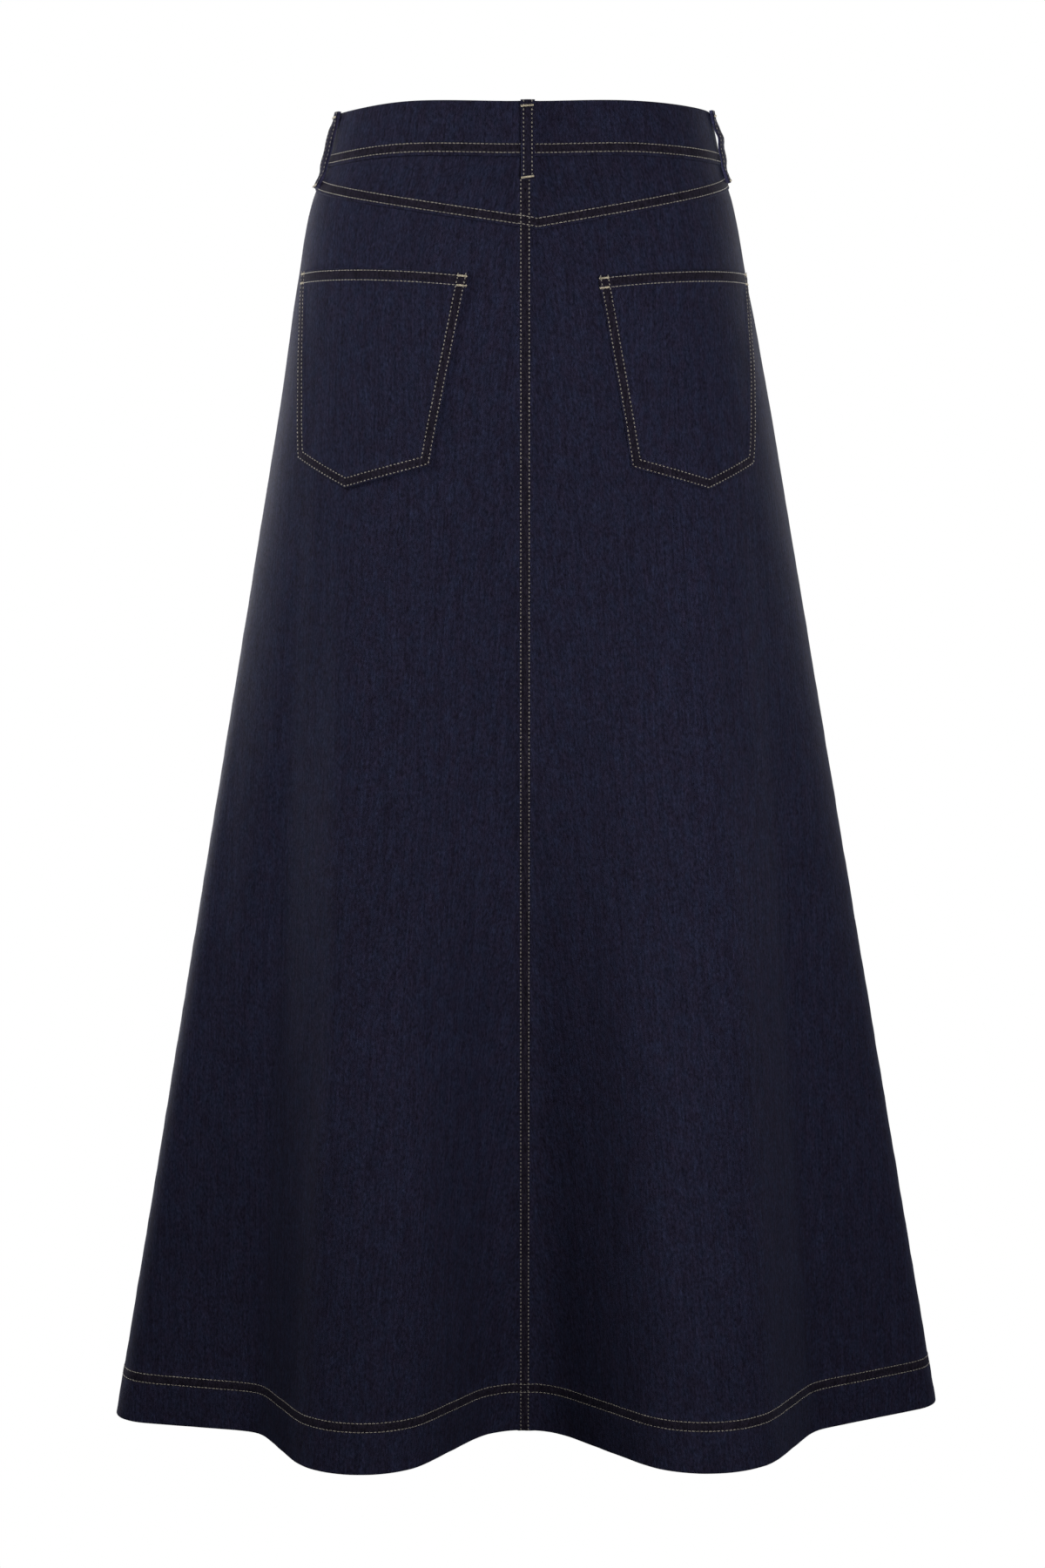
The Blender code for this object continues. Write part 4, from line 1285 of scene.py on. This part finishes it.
class SkirtColours(PropertyGroup):
    """Colours of the cloth, the threads and the button, and the light of the studio."""
    denim: FloatVectorProperty(
        name="Denim", description="Indigo face of the cloth", default=(0.0098, 0.0087, 0.0186),
        subtype="COLOR")
    denim_cool: FloatVectorProperty(
        name="Denim, cooler", description="Bluer patches of the face", default=(0.0076, 0.0085, 0.0186),
        subtype="COLOR")
    seam: FloatVectorProperty(
        name="Seam strips", description="Cloth between twin rows", default=(0.0080, 0.0066, 0.0112),
        subtype="COLOR")
    reverse: FloatVectorProperty(
        name="Reverse", description="Paler inside of the cloth", default=(0.12, 0.14, 0.19), subtype="COLOR")
    thread: FloatVectorProperty(
        name="Topstitch thread", description="Tan thread", default=(0.140, 0.126, 0.106), subtype="COLOR")
    bartack: FloatVectorProperty(
        name="Bartack thread", description="Paler dense thread", default=(0.29, 0.25, 0.18), subtype="COLOR")
    metal: FloatVectorProperty(
        name="Button metal", description="Antique metal", default=(0.42, 0.34, 0.24), subtype="COLOR")
    sheen: FloatProperty(
        name="Sheen", description="Nap that catches light at the edges", default=0.02, min=0.0, max=1.0,
        subtype="FACTOR")
    key_power: FloatProperty(
        name="Key light", description="Power of the soft light behind the camera", default=20.0, unit="POWER")
    left_power: FloatProperty(
        name="Left light", description="Power of the lights on the left side", default=17.0, unit="POWER")
    right_power: FloatProperty(
        name="Right light", description="Power of the lights on the right side", default=10.0, unit="POWER")
    front_power: FloatProperty(
        name="Front light", description="Power of the light on the front", default=60.0, unit="POWER")
    surround: FloatProperty(
        name="Surround", description="Brightness of the studio all round", default=0.0, min=0.0)


# Operators --------------------------------------------------------------------------
class SKIRT_OT_stage(Operator):
    """Set up the white studio, its lights and the camera"""
    bl_idname = "skirt.stage"
    bl_label = "Studio and camera"

    def execute(self, context):
        scene = context.scene
        colours = scene.skirt_colours
        scene.view_settings.view_transform = "Standard"
        scene.view_settings.look = "None"
        scene.world = bpy.data.worlds.new("studio")
        scene.world.use_nodes = True
        surround = scene.world.node_tree.nodes["Background"].inputs
        surround["Strength"].default_value = colours.surround
        surround["Color"].default_value = WHITE
        white = Nodes("studio_white")
        white.set(Base_Color=BLACK, Specular_IOR_Level=0.0, Roughness=1.0, Emission_Color=WHITE,
                  Emission_Strength=1.0)
        floor = bmesh.new()
        bmesh.ops.create_grid(floor, x_segments=8, y_segments=8, size=STUDIO_SIZE)
        bmesh.ops.translate(floor, verts=floor.verts[:], vec=(0.0, 0.0, FLOOR_HEIGHT))
        walls = bmesh.new()
        bmesh.ops.create_icosphere(walls, subdivisions=4, radius=STUDIO_SIZE)
        for name, form in (("studio_floor", floor), ("studio_backdrop", walls)):
            item = mesh_object(name, form, white.material)
            item.visible_diffuse = False
            item.visible_glossy = False
            item.visible_shadow = False
        for name, place, size, power, share in LAMPS:
            light = bpy.data.lights.new(name, "AREA")
            light.size = size
            light.energy = share * getattr(colours, power)
            lamp = add_object(name, light)
            lamp.location = place
            lamp.rotation_euler = (Vector(LIGHT_AIM) - lamp.location).to_track_quat("-Z", "Y").to_euler()
            lamp.visible_camera = False
        data = bpy.data.cameras.new("camera")
        data.lens = CAMERA_LENS
        data.sensor_width = CAMERA_SENSOR
        scene.camera = add_object("camera", data)
        scene.camera.location = CAMERA_PLACE
        scene.camera.rotation_euler = (math.radians(90.0 - CAMERA_PITCH), 0.0, 0.0)
        return {"FINISHED"}


class SKIRT_OT_panels(Operator):
    """Make the four flared panels and the allowances inside their side seams"""
    bl_idname = "skirt.panels"
    bl_label = "Panels"

    def execute(self, context):
        for name, quarter in (("back_panel_right", 0), ("front_panel_right", 1),
                              ("front_panel_left", 2), ("back_panel_left", 3)):
            make_panel(name, quarter, cloth_finish())
        for name, seam in (("side_allowance_right", 1.0), ("side_allowance_left", 3.0)):
            make_allowance(name, seam, cloth_finish())
        return {"FINISHED"}


class SKIRT_OT_top(Operator):
    """Make the back yoke and the waistband"""
    bl_idname = "skirt.top"
    bl_label = "Yoke and waistband"

    def execute(self, context):
        make_waistband("waistband", cloth_finish())
        make_yoke("yoke_right", 0, cloth_finish())
        make_yoke("yoke_left", 3, cloth_finish())
        return {"FINISHED"}


class SKIRT_OT_pockets(Operator):
    """Make the two patch pockets"""
    bl_idname = "skirt.pockets"
    bl_label = "Patch pockets"

    def execute(self, context):
        for name, quarter, *corners in POCKETS:
            make_pocket(name, quarter, corners, cloth_finish())
        return {"FINISHED"}


class SKIRT_OT_belt_loops(Operator):
    """Make the five belt loops"""
    bl_idname = "skirt.belt_loops"
    bl_label = "Belt loops"

    def execute(self, context):
        for name, *loop in BELT_LOOPS:
            # Each loop's rim takes the denim with a painted highlight, three times lighter than the face
            make_belt_loop(name, loop, (*cloth_finish(), palette("worn_denim")))
        return {"FINISHED"}


class SKIRT_OT_button(Operator):
    """Make the waistband's button"""
    bl_idname = "skirt.button"
    bl_label = "Button"

    def execute(self, context):
        make_button("button", palette("button_metal"))
        return {"FINISHED"}


class SKIRT_OT_topstitching(Operator):
    """Sew the twin rows of topstitching"""
    bl_idname = "skirt.topstitching"
    bl_label = "Topstitching"

    def execute(self, context):
        sizes = context.scene.skirt_sizes
        thread = palette("topstitch_thread")
        width, height = sizes.thread_width, sizes.thread_height
        long_stitch = (thread, sizes.stitch_pitch, sizes.stitch_length, width, height)
        short_stitch = (thread, sizes.stitch_pitch, sizes.short_stitch, SHORT_WIDER * width, height)
        loop_low = waist_edge(0.0) - BELT_LOOPS[0][2]
        yoke_low = yoke_edge(0, 0.0) - EDGE_LAP
        hem_low = HEM_HEIGHT + HEM_CLEAR
        back = []
        front = []
        for offset in CENTRE_ROWS:
            back.append(centre_line(0.0, offset, loop_low, yoke_low + 0.001, partial(yoke_lift, 0)))
            back.append(centre_line(0.0, offset, yoke_low - 0.001, hem_low, panel_lift))
            front.append(centre_line(2.0, offset, band_seam(2.0) - 0.002, hem_low, panel_lift))
        front.extend(fly_line(inset) for inset in (0.0, ROW_GAUGE))
        sew("centre_back_topstitching", back, *short_stitch)
        sew("centre_front_topstitching", front, *short_stitch)
        hem = [girdle_line(start, start + 1, hem_edge, row, panel_lift)
               for row in HEM_ROWS for start in range(4)]
        sew("hem_topstitching", hem, *long_stitch)
        top = [girdle_line(2 + BAND_CLEAR, 6 - BAND_CLEAR, band_seam, row, band_lift) for row in BAND_ROWS]
        lap = (SEAM_LAP - 0.0006) / mean_length(yoke_low)
        for row in YOKE_ROWS:
            for half, start, stop in ((0, -lap, 1 - SIDE_CLEAR), (3, 3 + SIDE_CLEAR, 4 - 1.3 * lap)):
                top.append(girdle_line(start, stop, partial(yoke_edge, half), row - EDGE_LAP,
                                       partial(yoke_lift, half)))
        sew("yoke_and_band_topstitching", top, *long_stitch)
        pockets = []
        mouths = []
        for quarter, outline, width in pocket_outlines():
            pockets.extend(pocket_line(quarter, outline, row) for row in POCKET_ROWS)
            mouths.extend(mouth_line(quarter, outline, row, ROW_FROM_EDGE, width - ROW_FROM_EDGE)
                          for row in MOUTH_ROWS)
        sew("pocket_topstitching", pockets, *short_stitch)
        sew("mouth_topstitching", mouths, *long_stitch)
        loops = [loop_line(loop, side * LOOP_ROW, *LOOP_ROW_ENDS)
                 for _, *loop in BELT_LOOPS for side in (-1, 1)]
        sew("loop_topstitching", loops, *short_stitch)
        return {"FINISHED"}


class SKIRT_OT_bartacks(Operator):
    """Sew the bartacks and the buttonhole"""
    bl_idname = "skirt.bartacks"
    bl_label = "Bartacks and buttonhole"

    def execute(self, context):
        sizes = context.scene.skirt_sizes
        thread = palette("bartack_thread")
        dense = (thread, sizes.tack_pitch, TACK_OVERLAP * sizes.tack_pitch, sizes.tack_width)
        tacks = [tack_line(loop, down, slant) for _, *loop in BELT_LOOPS
                 for down, slant in LOOP_TACKS]
        near, far = MOUTH_TACK
        for quarter, outline, width in pocket_outlines():
            for row in MOUTH_ROWS:
                tacks.append(mouth_line(quarter, outline, row, near, far))
                tacks.append(mouth_line(quarter, outline, row, width - far, width - near))
        sew("bartacks", tacks, *dense, TACK_HEIGHT * sizes.thread_height)
        reach, rise = BUTTONHOLE
        angle = np.linspace(0.0, 2 * math.pi, 60)
        middle = BUTTON_FROM_EDGE - BUTTONHOLE_SHIFT
        across = middle + reach * np.clip(1.6 * np.cos(angle), -1, 1) + 0.0012 * np.cos(angle)
        height = band_rise(2.0) + rise * np.sin(angle)
        turn = 2.0 - across / mean_length(0.0)
        hole = thread_line(turn, height, band_lift(turn, height) + 0.0002)
        sew("buttonhole", [hole], *dense, sizes.thread_height)
        return {"FINISHED"}


class SKIRT_PT_sidebar(Panel):
    """The skirt's pieces and settings"""
    bl_idname = "SKIRT_PT_sidebar"
    bl_label = "Denim Skirt"
    bl_space_type = "VIEW_3D"
    bl_region_type = "UI"
    bl_category = "Denim Skirt"

    def draw(self, context):
        for settings in (context.scene.skirt_sizes, context.scene.skirt_colours):
            for key in settings.__annotations__:
                self.layout.prop(settings, key)
        for operator in OPERATORS:
            self.layout.operator(operator.bl_idname)


OPERATORS = (SKIRT_OT_stage, SKIRT_OT_panels, SKIRT_OT_top, SKIRT_OT_pockets, SKIRT_OT_belt_loops,
             SKIRT_OT_button, SKIRT_OT_topstitching, SKIRT_OT_bartacks)
CLASSES = (SkirtSizes, SkirtColours, *OPERATORS, SKIRT_PT_sidebar)


def register():
    for item in CLASSES:
        bpy.utils.register_class(item)
    bpy.types.Scene.skirt_sizes = PointerProperty(type=SkirtSizes)
    bpy.types.Scene.skirt_colours = PointerProperty(type=SkirtColours)


def unregister():
    del bpy.types.Scene.skirt_colours
    del bpy.types.Scene.skirt_sizes
    for item in reversed(CLASSES):
        bpy.utils.unregister_class(item)


def main():
    register()
    bpy.ops.skirt.stage()
    bpy.ops.skirt.panels()
    bpy.ops.skirt.top()
    bpy.ops.skirt.pockets()
    bpy.ops.skirt.belt_loops()
    bpy.ops.skirt.button()
    bpy.ops.skirt.topstitching()
    bpy.ops.skirt.bartacks()


if __name__ == "__main__":
    main()
